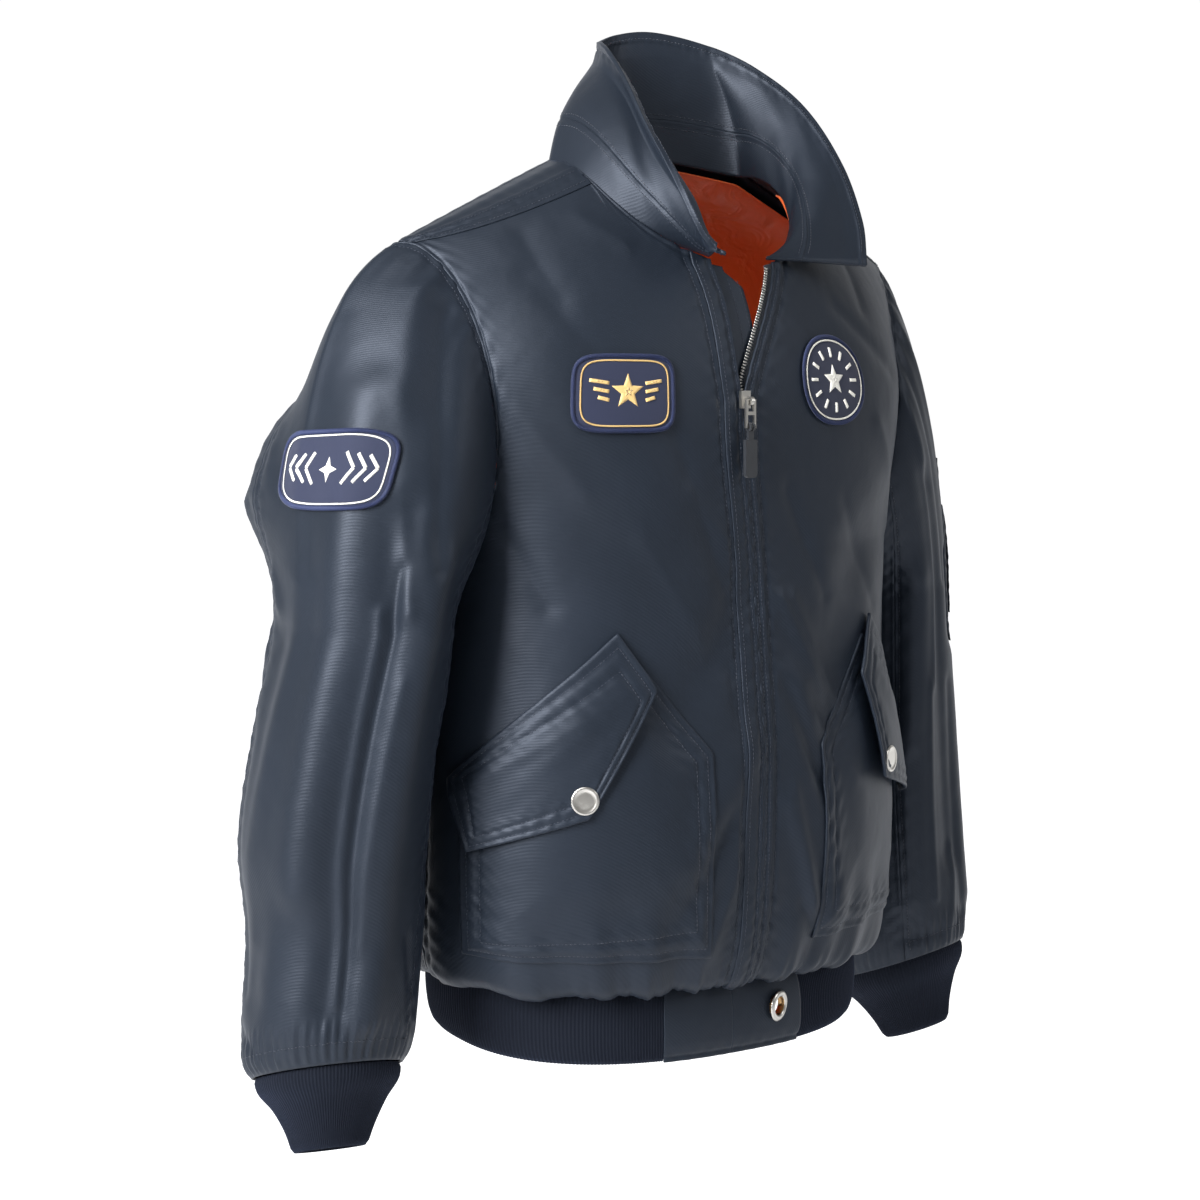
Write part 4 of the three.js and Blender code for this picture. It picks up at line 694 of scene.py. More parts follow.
def hem_angle(x):
    return math.degrees(math.asin(x / (BODY_CENTRE_Y - HEM_BAND["front"][1])))


# Collar
def neckline(u):
    own = np.abs(u)
    side = np.where(u < 0, -1, 1)
    back_x = NECK_HALF_WIDTH * np.sin(np.clip(own / 0.36, 0, 1) * np.pi / 2)
    back_z = NECK_RISE_BACK * (1 - (back_x / NECK_HALF_WIDTH) ** 2)
    start = math.asin(OPEN_HALF_GAP / NECK_HALF_WIDTH)
    turn = mix(np.pi / 2, start, np.clip((own - 0.36) / 0.64, 0, None))
    front_x = NECK_HALF_WIDTH * np.sin(turn)
    front_z = -NECK_DROP_FRONT * np.cos(turn)
    back = upper_skin(side * back_x, up_share(back_x, back_z), 1)
    front = upper_skin(side * front_x, up_share(front_x, front_z), -1)
    return np.where((own <= 0.36)[..., None], back, front)


def collar_form(u, w):
    """Smooth collar: w 0 at the neck seam, 1 at the free edge."""
    u, w = np.broadcast_arrays(np.asarray(u, float), np.asarray(w, float))
    edge = {name: look_up(COLLAR_EDGE, "u", u, name) for name in ("x", "y", "z", "bow", "curl")}
    base = neckline(u)
    outwards = base.copy()
    outwards[..., 2] = 0
    outwards = unit(outwards)
    base = base - outwards * COLLAR_SETBACK
    base[..., 2] += COLLAR_SETBACK
    rise = point(edge["x"], edge["y"], edge["z"]) - base
    height = np.linalg.norm(rise, axis=-1)
    up = unit(rise)
    out = unit(outwards - up * np.sum(outwards * up, axis=-1, keepdims=True))
    path = w * height
    plain = np.minimum(path, height - COLLAR_ROLL)
    rolled = path - plain
    bow = edge["bow"] * np.sin(np.pi * plain / (height - COLLAR_ROLL))
    bend = np.maximum(np.radians(edge["curl"]), 0.001) / COLLAR_ROLL
    along = plain + np.sin(bend * rolled) / bend
    away = bow + (1 - np.cos(bend * rolled)) / bend
    return base + up * along[..., None] + out * away[..., None]


def collar_point(u, w, rise=0.0, detail=0.0):
    u, w, rise = np.broadcast_arrays(*(np.asarray(q, float) for q in (u, w, rise)))
    own = np.clip(u, -0.995, 0.995)
    normal = outward(collar_form, own, np.maximum(w, 0.004), -1, 1)
    along = u * 330
    height = np.zeros(u.shape)
    if detail:
        seam = (w - STAND_SHARE) * 130
        height = 0.9 * crumple(along, w * 120, 30) * smooth((1 - w) * 100 / 12)
        height = height + puckers(seam, along, 8, 12, 0.25)
        height = height + puckers((1 - w) * 110 - 7, along + 50, 6, 11, 0.35)
        height = height * smooth((1.003 - w) / 0.03)
    return collar_form(u, w) + normal * (height * detail + rise)[..., None]


def lining_point(side, share, v, face, rise=0.0):
    """The lining, hanging inside the shell from the neckline."""
    share, v = np.broadcast_arrays(np.asarray(share, float), np.asarray(v, float))
    if face < 0:
        below = 0.045 * smooth((0.6 - share) / 0.15) + 0.05 * smooth((0.2 - share) / 0.1)
    else:
        below = 0.002
    level = np.minimum(v, 1.998 - below)

    def form(a, b):
        return body_form(side, a, b, face)

    normal = outward(form, np.clip(share, 0.004, 0.994), level, -side * face)
    drop = mix(10, 3.6, smooth((level - 1.75) / 0.235))
    line = girth_angle(form(share, level)) * 2.9
    wave = 1.8 * crumple(line, level * 300, 40) * smooth((1.97 - level) / 0.15)
    skin = form(share, level)
    place = skin + normal * (rise - drop + wave)[..., None]
    place[..., 1] += face * SEAM
    under = skin[..., 2] - 5 + rise
    place[..., 2] = mix(place[..., 2], np.minimum(place[..., 2], under), smooth((level - 1.7) / 0.1))
    seam_y = mix(BODY_CENTRE_Y, RIDGE_Y, np.clip(level - 1, 0, 1)) + face * SEAM
    over = (place[..., 1] - seam_y) * face < 0
    place[..., 1] = np.where(over, seam_y, place[..., 1])
    return place


# Places inside four edge lines
def along_line(line, t):
    line = np.array(line, float)
    lengths = np.linalg.norm(np.diff(line, axis=0), axis=1)
    ends = np.concatenate([[0], np.cumsum(lengths)]) / lengths.sum()
    return np.stack([np.interp(t, ends, line[:, k]) for k in range(2)], axis=-1)


def between(edges, a, b):
    """Blends four edge lines, each a list of corners, over the square (a, b)."""
    low, high = along_line(edges["bottom"], a), along_line(edges["top"], a)
    start, end = along_line(edges["left"], b), along_line(edges["right"], b)
    a, b = np.asarray(a)[..., None], np.asarray(b)[..., None]
    low_corners = mix(np.array(edges["bottom"][0], float), np.array(edges["bottom"][-1], float), a)
    high_corners = mix(np.array(edges["top"][0], float), np.array(edges["top"][-1], float), a)
    return mix(start, end, a) + mix(low, high, b) - mix(low_corners, high_corners, b)


def pocket_edges(side):
    bag = POCKETS[side]["bag"]
    near_foot, far_foot = (bag["near_bend"][0], POCKET_FOOT_Z), (bag["far_top"][0], POCKET_FOOT_Z + 6)
    return {"bottom": [far_foot, near_foot], "top": [bag["far_top"], bag["near_top"]],
            "left": [far_foot, bag["far_top"]], "right": [near_foot, bag["near_bend"], bag["near_top"]]}


def flap_edges(side):
    flap = POCKETS[side]["flap"]
    return {"bottom": [flap["foot"], flap["nose"]], "top": [flap["back"], flap["top"]],
            "left": [flap["foot"], flap["back"]], "right": [flap["nose"], flap["point"], flap["top"]]}


def edge_distance(a, b, width, height):
    return np.minimum(np.minimum(a, 1 - a) * width, np.minimum(b, 1 - b) * height)


def bag_point(side, a, b, rise=0.0):
    """The patch pocket, lying on the front with a sewn edge and a slack middle."""
    a, b, rise = np.broadcast_arrays(*(np.asarray(q, float) for q in (a, b, rise)))
    place = between(pocket_edges(side), a, b)
    edge = edge_distance(a, b, POCKET_WIDTH, POCKET_HEIGHT)
    line = a * POCKET_WIDTH * 1.1 + b * POCKET_HEIGHT
    lift = 1.6 + 3.2 * smooth((edge - 12) / 40) + 2.4 * smooth((0.25 - b) / 0.25) * smooth(edge / 14)
    detail = puckers(edge - 4, line, 5, 9, 0.3) + puckers(edge - 13, line * 1.03 + 4, 9, 11, 0.5)
    slack = 0.8 * crumple(a * POCKET_WIDTH, b * POCKET_HEIGHT, 38) * smooth((edge - 10) / 25)
    foot = 1.1 * np.sin(a * POCKET_WIDTH / 4.1 + 1.5 * np.sin(a * 13)) * smooth((0.2 - b) / 0.18)
    height = rise + lift + detail + slack + foot * smooth((edge - 13) / 10)
    return front_at(side, place[..., 0], place[..., 1], height, 0.5)


def flap_point(side, a, b, rise=0.0):
    """The pocket flap: sewn along its top edge with small gathers, free below."""
    a, b, rise = np.broadcast_arrays(*(np.asarray(q, float) for q in (a, b, rise)))
    place = between(flap_edges(side), a, b)
    edge = edge_distance(a, b, FLAP_WIDTH, FLAP_HEIGHT)
    below = (1 - b) * FLAP_HEIGHT
    line = a * FLAP_WIDTH
    lift = mix(8.5, 3.6, np.clip(4 * b - 3, 0, 1)) + POCKETS[side]["stand"] * smooth(1 - b)
    gathers = 0.2 * np.exp(-(((below - 15) / 17) ** 2)) * (
        np.sin(line / 2.9 + 1.2 * np.sin(line / 17)) * 0.6 + 0.5 * np.sin(line / 5.3 + below / 9))
    rows = puckers(edge - 5, line + b * 90, 5, 9, 0.25) + puckers(edge - 14, line + b * 90 + 5, 7, 10, 0.4)
    slack = 0.9 * crumple(line + 30, b * FLAP_HEIGHT, 33) * smooth((edge - 14) / 20)
    height = rise + lift + gathers * smooth(below / 8) + rows + slack
    return front_at(side, place[..., 0], place[..., 1], height, 0.3)


def chest_cloth(side):
    """Surface of a front in millimetres across and up from the middle of its patch."""
    middle = CHEST_PATCHES[side]
    ends = front_at(side, middle["angle"] + np.array([-0.5, 0.5]), middle["z"])
    per_mm = 1 / np.linalg.norm(ends[1] - ends[0])
    return lambda x, y, rise: front_at(side, middle["angle"] + x * per_mm, middle["z"] + y, rise, 0.6)


def sleeve_cloth(side, middle):
    """Surface of a sleeve in millimetres across and up from a middle place."""
    ends = sleeve_at(side, middle["angle"] + np.array([-0.5, 0.5]), middle["z"])
    per_mm = 1 / np.linalg.norm(ends[1] - ends[0])
    seams = (SLEEVE_SEAMS["back"], SLEEVE_SEAMS["front"])
    return lambda x, y, rise: sleeve_at(side, middle["angle"] + x * per_mm, middle["z"] + y, rise, seams)


def pocket_swell(x, y):
    a = np.clip(1 - (x / SLEEVE_POCKET["half_width"]) ** 2, 0, None)
    b = np.clip(1 - (y / SLEEVE_POCKET["half_height"]) ** 2, 0, None)
    return SLEEVE_POCKET["puff"] * (a * b) ** 0.5


# Meshes
def new_object(name, points, faces, material, body="jacket", smooth_faces=True):
    mesh = bpy.data.meshes.new(name)
    mesh.from_pydata((np.asarray(points) * MM).tolist(), [], faces)
    mesh.validate()
    mesh.polygons.foreach_set("use_smooth", [smooth_faces] * len(mesh.polygons))
    mesh.materials.append(material)
    made = bpy.data.objects.new(name, mesh)
    bpy.context.scene.collection.objects.link(made)
    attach(made, body)
    return made


def grid_faces(rows, cols, offset=0, flip=False, ring=False):
    """Four-sided faces of a grid of points, row by row."""
    i = np.arange(rows - 1)[:, None]
    j = np.arange(cols if ring else cols - 1)[None, :]
    after = (j + 1) % cols
    quads = np.stack(np.broadcast_arrays(i * cols + j, i * cols + after,
                                         (i + 1) * cols + after, (i + 1) * cols + j), axis=-1)
    quads = quads.reshape(-1, 4) + offset
    return (quads[:, ::-1] if flip else quads).tolist()


def border(rows, cols):
    """Indexes round the edge of a grid, and for each the index of its inner neighbour."""
    top = [(0, j) for j in range(cols)]
    right = [(i, cols - 1) for i in range(1, rows)]
    bottom = [(rows - 1, j) for j in range(cols - 2, -1, -1)]
    left = [(i, 0) for i in range(rows - 2, 0, -1)]
    loop = top + right + bottom + left
    inner = [(min(max(i, 1), rows - 2), min(max(j, 1), cols - 2)) for i, j in loop]
    return [i * cols + j for i, j in loop], [i * cols + j for i, j in inner]


def shell(name, surface, a, b, thickness, material, slot, closed=False, flip=False, round_by=0.5,
          hole=None):
    """Cloth over a grid of a and b values. Its edges are rounded and turned in by the thickness,
    and a closed one has an inner face too. surface(a, b, rise) gives places."""
    a, b = np.asarray(a, float), np.asarray(b, float)
    grid_a, grid_b = (a, b) if a.ndim == 2 else np.meshgrid(a, b)
    rows, cols = grid_a.shape
    outer = surface(grid_a, grid_b, np.zeros(grid_a.shape)).reshape(-1, 3)
    inner = surface(grid_a, grid_b, np.full(grid_a.shape, -float(thickness))).reshape(-1, 3)
    loop, neighbour = border(rows, cols)
    away = unit(outer[loop] - outer[neighbour])
    points = [outer]
    faces = grid_faces(rows, cols, 0, flip)
    if hole:
        middle, radius = hole
        off = np.linalg.norm(outer - middle, axis=1)
        faces = [face for face in faces if min(off[face]) > radius]
    count = len(loop)
    before = np.array(loop)
    total = len(outer)
    for t, bulge in ((0.22, 0.75), (0.5, 1.0), (0.78, 0.75), (1.0, 0.0)):
        if t == 1.0 and closed:
            points.append(inner)
            after = np.array(loop) + total
            total += len(inner)
        else:
            ring = mix(outer[loop], inner[loop], t) + away * (bulge * round_by)
            points.append(ring)
            after = np.arange(count) + total
            total += count
        nxt = np.roll(np.arange(count), -1)
        band = np.stack([before, after, after[nxt], before[nxt]], axis=-1)
        faces += (band[:, ::-1] if flip else band).tolist()
        before = after
    if closed:
        faces += grid_faces(rows, cols, total - len(inner), not flip)
    return new_object(name, np.concatenate(points), faces, material)


def spaced(start, end, count, dense=0.0):
    """Places from start to end, closer together at both ends when dense is above 0."""
    t = np.linspace(0, 1, count)
    return mix(start, end, mix(t, (1 - np.cos(np.pi * t)) / 2, dense))


# Materials
def linear(colour):
    """A colour given as sRGB hex, as linear red, green, blue and alpha."""
    parts = [int(colour[i:i + 2], 16) / 255 for i in (1, 3, 5)]
    return [c / 12.92 if c <= 0.04045 else ((c + 0.055) / 1.055) ** 2.4 for c in parts] + [1.0]


def node(tree, kind, inputs=None, **settings):
    """Adds a shader node with its settings; inputs hold values or other nodes' outputs."""
    made = tree.nodes.new(kind)
    for key, value in settings.items():
        setattr(made, key, value)
    for name, value in (inputs or {}).items():
        if isinstance(value, bpy.types.NodeSocket):
            tree.links.new(value, made.inputs[name])
        else:
            made.inputs[name].default_value = value
    return made


def surface_material(name, colour, roughness, **inputs):
    material = bpy.data.materials.new(name)
    material.use_nodes = True
    tree = material.node_tree
    shader = tree.nodes["Principled BSDF"]
    shader.inputs["Base Color"].default_value = linear(colour)
    shader.inputs["Roughness"].default_value = roughness
    for key, value in inputs.items():
        shader.inputs[key.replace("_", " ")].default_value = value
    return material, tree, shader


def woven_nylon():
    # Nylon twill, piece-dyed and calendered: a soft blue satin shine with faint uneven patches, slack
    # ripples left by wearing, and diagonal twill lines drawn about 1.5 mm apart, coarser than the
    # 0.6 mm assumed for the cloth, so that they show.
    material, tree, shader = surface_material(
        "nylon_twill_dyed", "#161b23", 0.5, Sheen_Weight=0.05, Sheen_Roughness=0.4,
        Specular_IOR_Level=0.46)
    shader.inputs["Specular Tint"].default_value = linear("#cdd6e8")
    shader.inputs["Sheen Tint"].default_value = linear("#8fa6cf")
    place = node(tree, "ShaderNodeTexCoord")
    patches = node(tree, "ShaderNodeTexNoise", {"Vector": place.outputs["Object"], "Scale": 9.0,
                                                "Detail": 5.0})
    tone = node(tree, "ShaderNodeMix", {"Factor": patches.outputs["Fac"]}, data_type="RGBA")
    tone.inputs["A"].default_value = linear("#141920")
    tone.inputs["B"].default_value = linear("#181f29")
    tree.links.new(tone.outputs["Result"], shader.inputs["Base Color"])
    gloss = node(tree, "ShaderNodeMapRange", {"Value": patches.outputs["Fac"], "To Min": 0.45,
                                                 "To Max": 0.53})
    tree.links.new(gloss.outputs["Result"], shader.inputs["Roughness"])
    slack = node(tree, "ShaderNodeTexNoise", {"Vector": place.outputs["Object"], "Scale": 17.0,
                                              "Detail": 2.5})
    crumples = node(tree, "ShaderNodeTexNoise", {"Vector": place.outputs["Object"], "Scale": 75.0,
                                                 "Detail": 4.0})
    twill = node(tree, "ShaderNodeTexWave", {"Vector": place.outputs["Object"], "Scale": 247.0},
                 bands_direction="DIAGONAL")
    wide = node(tree, "ShaderNodeBump", {"Height": slack.outputs["Fac"], "Strength": 0.4, "Distance": 0.005})
    low = node(tree, "ShaderNodeBump", {"Height": crumples.outputs["Fac"], "Strength": 0.22,
                                        "Distance": 0.001,
                                        "Normal": wide.outputs["Normal"]})
    fine = node(tree, "ShaderNodeBump", {"Height": twill.outputs["Fac"], "Strength": 0.16,
                                         "Distance": 0.0003,
                                         "Normal": low.outputs["Normal"]})
    tree.links.new(fine.outputs["Normal"], shader.inputs["Normal"])
    return material


def rib_knit():
    # Acrylic double rib, dyed in the yarn: matt and soft beside the shell's shine.
    material, tree, shader = surface_material(
        "rib_knit_yarn_dyed", "#10141d", 0.9, Sheen_Weight=0.12, Sheen_Roughness=0.5,
        Specular_IOR_Level=0.15)
    shader.inputs["Sheen Tint"].default_value = linear("#7f95cc")
    place = node(tree, "ShaderNodeTexCoord")
    fuzz = node(tree, "ShaderNodeTexNoise", {"Vector": place.outputs["Object"], "Scale": 900.0,
                                             "Detail": 3.0})
    bump = node(tree, "ShaderNodeBump", {"Height": fuzz.outputs["Fac"], "Strength": 0.3, "Distance": 0.0004})
    tree.links.new(bump.outputs["Normal"], shader.inputs["Normal"])
    return material


def satin_lining():
    # Polyester lining satin, piece-dyed orange: bright, with a soft sheen on its waves.
    material, tree, shader = surface_material(
        "polyester_satin_lining", "#f67032", 0.38, Sheen_Weight=0.2)
    place = node(tree, "ShaderNodeTexCoord")
    waves = node(tree, "ShaderNodeTexNoise", {"Vector": place.outputs["Object"], "Scale": 32.0,
                                              "Detail": 3.0, "Distortion": 1.4})
    bump = node(tree, "ShaderNodeBump", {"Height": waves.outputs["Fac"], "Strength": 0.6, "Distance": 0.004})
    tree.links.new(bump.outputs["Normal"], shader.inputs["Normal"])
    return material


def plain_cloth(name, colour, roughness):
    # One colour with a fine uneven grain that only breaks up the light: tape, patch cloth, threads and
    # the rubber tab.
    material, tree, shader = surface_material(name, colour, roughness, Sheen_Weight=0.15)
    place = node(tree, "ShaderNodeTexCoord")
    weave = node(tree, "ShaderNodeTexNoise", {"Vector": place.outputs["Object"], "Scale": 1500.0})
    bump = node(tree, "ShaderNodeBump", {"Height": weave.outputs["Fac"], "Strength": 0.35,
                                         "Distance": 0.0003})
    tree.links.new(bump.outputs["Normal"], shader.inputs["Normal"])
    return material


def plated_metal(name, colour, roughness):
    # Plated metal: an even satin shine in one colour, without wear or scratches.
    return surface_material(name, colour, roughness, Metallic=1.0)[0]


NYLON = woven_nylon()
KNIT = rib_knit()
LINING = satin_lining()
TAPE = plain_cloth("zip_tape_woven", "#1a2029", 0.8)
PATCH = plain_cloth("embroidered_twill_navy", "#111a36", 0.8)
BORDER = plain_cloth("merrowed_thread_blue", "#18264f", 0.7)
GOLD = plain_cloth("rayon_thread_gold", "#cfae70", 0.45)
WHITE = plain_cloth("rayon_thread_white", "#e8e6dd", 0.5)
THREAD = plain_cloth("polyester_thread_navy", "#1d2535", 0.55)
NICKEL = plated_metal("nickel_plate_satin", "#cfccc6", 0.3)
BRASS = plated_metal("brass_worn", "#a98a62", 0.35)
RUBBER = plain_cloth("rubber_moulded_dark", "#14181f", 0.5)


# Body
def front_panel(side):
    a = spaced(0, 0.9995, 122, 0.35)
    b = np.concatenate([np.linspace(0, 0.2, 44)[:-1], np.linspace(0.2, 1.9, 132)[:-1],
                         np.linspace(1.9, 2, 18)])
    made = shell(
        "shell_front_" + ("right" if side < 0 else "left"),
        lambda s, v, rise: body_point(side, s, v, -1, rise, 1.0),
        a, b, 2, NYLON, "nylon_shell", flip=side > 0)
    return made


def back_panel():
    a = np.linspace(-0.9995, 0.9995, 180)
    b = np.concatenate([np.linspace(0, 0.2, 38)[:-1], np.linspace(0.2, 1.9, 98)[:-1],
                         np.linspace(1.9, 2, 16)])

    def surface(s, v, rise):
        right = body_point(-1, np.abs(s), v, 1, rise, 1.0)
        left = body_point(1, np.abs(s), v, 1, rise, 1.0)
        return np.where((s < 0)[..., None], right, left)

    return shell("shell_back", surface, a, b, 2, NYLON, "nylon_shell", flip=True)


SLEEVE_COLUMNS = 98


def sleeve_piece(side, name, start, end):
    gap = math.degrees(SEAM / 2 / 60)
    seams = (start, end)
    a = np.linspace(start + gap, end - gap, SLEEVE_COLUMNS)
    b = np.concatenate([np.linspace(0, 0.3, 34)[:-1], np.linspace(0.3, 1.84, 122)[:-1],
                         np.linspace(1.84, 2, 30)])
    return shell(
        f"shell_{name}_" + ("right" if side < 0 else "left"),
        lambda s, v, rise: sleeve_point(side, s, v, rise, seams),
        a, b, 2, NYLON, "nylon_shell", flip=side < 0)


def rib_rise(ribs):
    """Rise of knitted ribs, seen round a tube, for places given in ribs."""
    wave = np.abs(np.sin(np.pi * ribs))
    return 0.75 * wave**0.7 - 0.75


def cuff(side):
    ribs = 130
    angle = np.linspace(0, 360, ribs * 4, endpoint=False)
    down = np.linspace(0, 1, 18)
    grid_a, grid_w = np.meshgrid(angle, down)
    rise = rib_rise(grid_a / 360 * ribs)
    edge = np.sqrt(np.clip(1 - ((grid_w - 0.5) / 0.5) ** 16, 0, 1))
    fold = 1.2 * np.sin(np.radians(3 * grid_a + 40)) * np.sin(np.pi * grid_w)
    outer = cuff_point(side, grid_a, grid_w, rise + fold + 1.6 * edge - 1.6)
    inner_w = np.linspace(1, 0.3, 4)
    inner_a, inner_w = np.meshgrid(angle, inner_w)
    inner = cuff_point(side, inner_a, inner_w, np.full(inner_a.shape, -4.0))
    points = np.concatenate([outer.reshape(-1, 3), inner.reshape(-1, 3)])
    faces = grid_faces(len(down) + 4, len(angle), 0, side < 0, ring=True)
    return new_object("knit_cuff_" + ("right" if side < 0 else "left"), points, faces, KNIT)


def hem_rib():
    centre = float(zip_x(-630))
    start, end = hem_angle(centre + HEM_TAB_WIDTH[1]), 360 + hem_angle(centre - HEM_TAB_WIDTH[-1])
    ribs = 330
    angle = np.linspace(start, end, ribs * 4 + 1)
    down = np.linspace(0, 1, 16)
    grid_a, grid_w = np.meshgrid(angle, down)
    rise = rib_rise((grid_a - start) / (end - start) * ribs)
    edge = np.sqrt(np.clip(1 - ((grid_w - 0.5) / 0.5) ** 14, 0, 1))
    outer = hem_point(grid_a, grid_w, rise + 2 * edge - 2)
    inner_a, inner_w = np.meshgrid(angle, np.linspace(1, 0, 4))
    inner = hem_point(inner_a, inner_w, np.full(inner_a.shape, -4.0))
    points = np.concatenate([outer.reshape(-1, 3), inner.reshape(-1, 3)])
    faces = grid_faces(len(down) + 4, len(angle), 0, True)
    return new_object("knit_hem_band", points, faces, KNIT)


def hem_tab(side):
    centre = float(zip_x(-630))
    far = centre + side * (HEM_TAB_WIDTH[side] - SEAM)
    near = centre + side * SEAM / 2
    start, end = sorted((hem_angle(near), hem_angle(far)))

    def surface(s, w, rise):
        edge = puckers(w * 62 - 4, s * 2.0, 7, 11, 0.4) + puckers((1 - w) * 62 - 4, s * 2, 7, 11, 0.3)
        return hem_point(s, w, rise + 0.5 + edge)

    hole = None if side < 0 else (EYELETS[2], EYELET_HOLE)
    return shell("shell_hem_tab_" + ("right" if side < 0 else "left"), surface,
                 np.linspace(start, end, 64), np.linspace(1, 0, 56), 2, NYLON, "nylon_shell", hole=hole)


def strip(name, side, near, far, levels, thickness, lift, material, slot, detail=1.0):
    """A long strip beside a front edge, near and far as insets at each level."""
    b = np.concatenate([np.linspace(p, q, n, endpoint=False) for p, q, n in levels] + [[levels[-1][1]]])
    t = np.linspace(0, 1, 14)
    grid_t, grid_b = np.meshgrid(t, b)
    inset = mix(near(grid_b), far(grid_b), grid_t)
    return shell(name, lambda s, v, rise: edge_point(side, s, v, rise + lift, detail),
                 inset, grid_b, thickness, material, slot, flip=side > 0)


def front_strips():
    whole = [(0, 0.2, 50), (0.2, 1.9, 200), (1.9, 2, 16)]
    shown = [(0.06, 0.2, 20), (0.2, 1.9, 200), (1.9, 2, 16)]

    def constant(value):
        return lambda v: np.full(v.shape, float(value))

    def tape_edge(v):
        z = body_form(1, np.zeros_like(v), v, -1, 0.0)[..., 2]
        return SEAM / 2 - np.clip(2 * edge_gap(z) - 1.5, 0, ZIP_TAPE_SHOWN)

    def flap_edge(v):
        return -mix(float(WIND_FLAP_SHOWN), 13.0, np.clip((v - 1.93) / 0.05, 0, 1))

    return [
        strip("shell_placket_right", -1, constant(SEAM / 2), constant(16), whole, 2, 0.8,
              NYLON, "nylon_shell"),
        strip("shell_placket_left", 1, constant(SEAM / 2), constant(9), whole, 2, 0.8, NYLON, "nylon_shell"),
        strip("tape_right", -1, constant(SEAM / 2), constant(13), shown, 1, -2.8, TAPE, "zip_tape", 0.0),
        strip("tape_left", 1, tape_edge, constant(13), shown, 1, -2.8, TAPE, "zip_tape", 0.0),
        strip("shell_wind_flap", -1, flap_edge, constant(10), shown, 1.2, -5.4, NYLON, "nylon_shell"),
    ]


def collar_pieces():
    stand = shell("shell_collar_stand", lambda u, w, rise: collar_point(u, w, rise, 1.0),
                  np.linspace(-1, 1, 200), np.linspace(-0.03, STAND_SHARE + 0.01, 20),
                   3, NYLON, "nylon_shell",
                  closed=True, flip=True)
    leaf = shell("shell_collar_leaf", lambda u, w, rise: collar_point(u, w, rise, 1.0),
                 np.linspace(-1, 1, 230), spaced(LEAF_START, 1, 56), 3, NYLON, "nylon_shell",
                 closed=True, flip=True)
    return [stand, leaf]


def lining_pieces():
    levels = np.concatenate([np.linspace(0.1, 1.985, 90), np.linspace(1.988, 1.998, 4)])
    ends = mix(0.975, 0.9, smooth((levels - 0.7) / 0.5))
    made = []
    for side in (-1, 1):
        t, b = np.meshgrid(np.linspace(0, 1, 60), levels)
        a = mix(0.02, ends[:, None], t)
        made.append(shell("lining_front_" + ("right" if side < 0 else "left"),
                          lambda s, v, rise, side=side: lining_point(side, s, v, -1, rise),
                          a, b, 1, LINING, "lining_satin", flip=side > 0))

    def back(s, v, rise):
        right = lining_point(-1, np.abs(s), v, 1, rise)
        left = lining_point(1, np.abs(s), v, 1, rise)
        return np.where((s < 0)[..., None], right, left)

    t, b = np.meshgrid(np.linspace(-1, 1, 120), levels)
    a = ends[:, None] * t
    made.append(shell("lining_back_panel", back, a, b, 1, LINING, "lining_satin", flip=True))
    return made


def hand_pocket(side):
    name = "right" if side < 0 else "left"
    grid = np.linspace(0, 1, 92), np.linspace(0, 1, 84)
    bag = shell("shell_pocket_bag_" + name, lambda a, b, rise: bag_point(side, a, b, rise),
                *grid, 2, NYLON, "nylon_shell", flip=side > 0)
    flap = shell("shell_pocket_flap_" + name, lambda a, b, rise: flap_point(side, a, b, rise),
                 np.linspace(0, 1, 96), np.linspace(0, 1, 56), 2.4, NYLON, "nylon_shell",
                 closed=True, flip=side > 0)
    return bag, flap


def lathe(name, profile, place, facing, material, steps=48):
    """A turned piece: its profile holds radius and height, facing is its axis."""
    turn = np.linspace(0, 2 * np.pi, steps, endpoint=False)
    axis = unit(np.asarray(facing, float))
    side_way = unit(np.cross(axis, [0.3, 0.2, 0.9]))
    other_way = np.cross(axis, side_way)
    rows = [place + axis * h + (side_way * np.cos(t)[:, None] + other_way * np.sin(t)[:, None]) * r
            for (r, h), t in zip(profile, [turn] * len(profile))]
    return new_object(name, np.concatenate(rows), grid_faces(len(profile), steps, 0, True, ring=True),
                      material)


def snap_cap(side):
    outside = flap_point(side, np.array(SNAP_PLACE[0]), np.array(SNAP_PLACE[1]), 0.0)
    facing = flap_point(side, np.array(SNAP_PLACE[0]), np.array(SNAP_PLACE[1]), 4.0) - outside
    profile = [(0.01, 1.7), (2.2, 1.7), (4.2, 1.66), (5.6, 1.6), (7.6, 1.6),
               (8.0, 1.85), (8.8, 2.0), (9.6, 1.9), (10.1, 1.5), (10.3, 1.0), (10.2, 0.4), (9.6, 0.0)]
    return lathe("metal_snap_" + ("right" if side < 0 else "left"), profile, outside, facing,
                 NICKEL)


def capsules(name, places, along, across, length, width, height, material):
    """Many small rounded bars in one mesh: stitches or teeth, each with its own directions."""
    places, along, across = (np.asarray(q, float) for q in (places, along, across))
    up = np.cross(along, across)
    turn = np.linspace(0, 2 * np.pi, 4, endpoint=False)
    points, faces = [], []
    for share, size in ((-0.5, 0.5), (0.0, 1.12), (0.5, 0.5)):
        ring = (across[:, None] * np.cos(turn)[:, None] * width / 2
                + up[:, None] * np.sin(turn)[:, None] * height / 2) * size
        points.append(places[:, None] + along[:, None] * share * length + ring)
    points = np.stack(points, axis=1)
    count = len(places)
    base = np.arange(count)[:, None] * 12
    for k in range(2):
        for t in range(4):
            n = (t + 1) % 4
            corner = np.array([k * 4 + t, k * 4 + n, (k + 1) * 4 + n, (k + 1) * 4 + t])
            faces += (base + corner).tolist()
    faces += (base + np.arange(3, -1, -1)).tolist()
    faces += (base + np.arange(8, 12)).tolist()
    return new_object(name, points.reshape(-1, 3), faces, material)


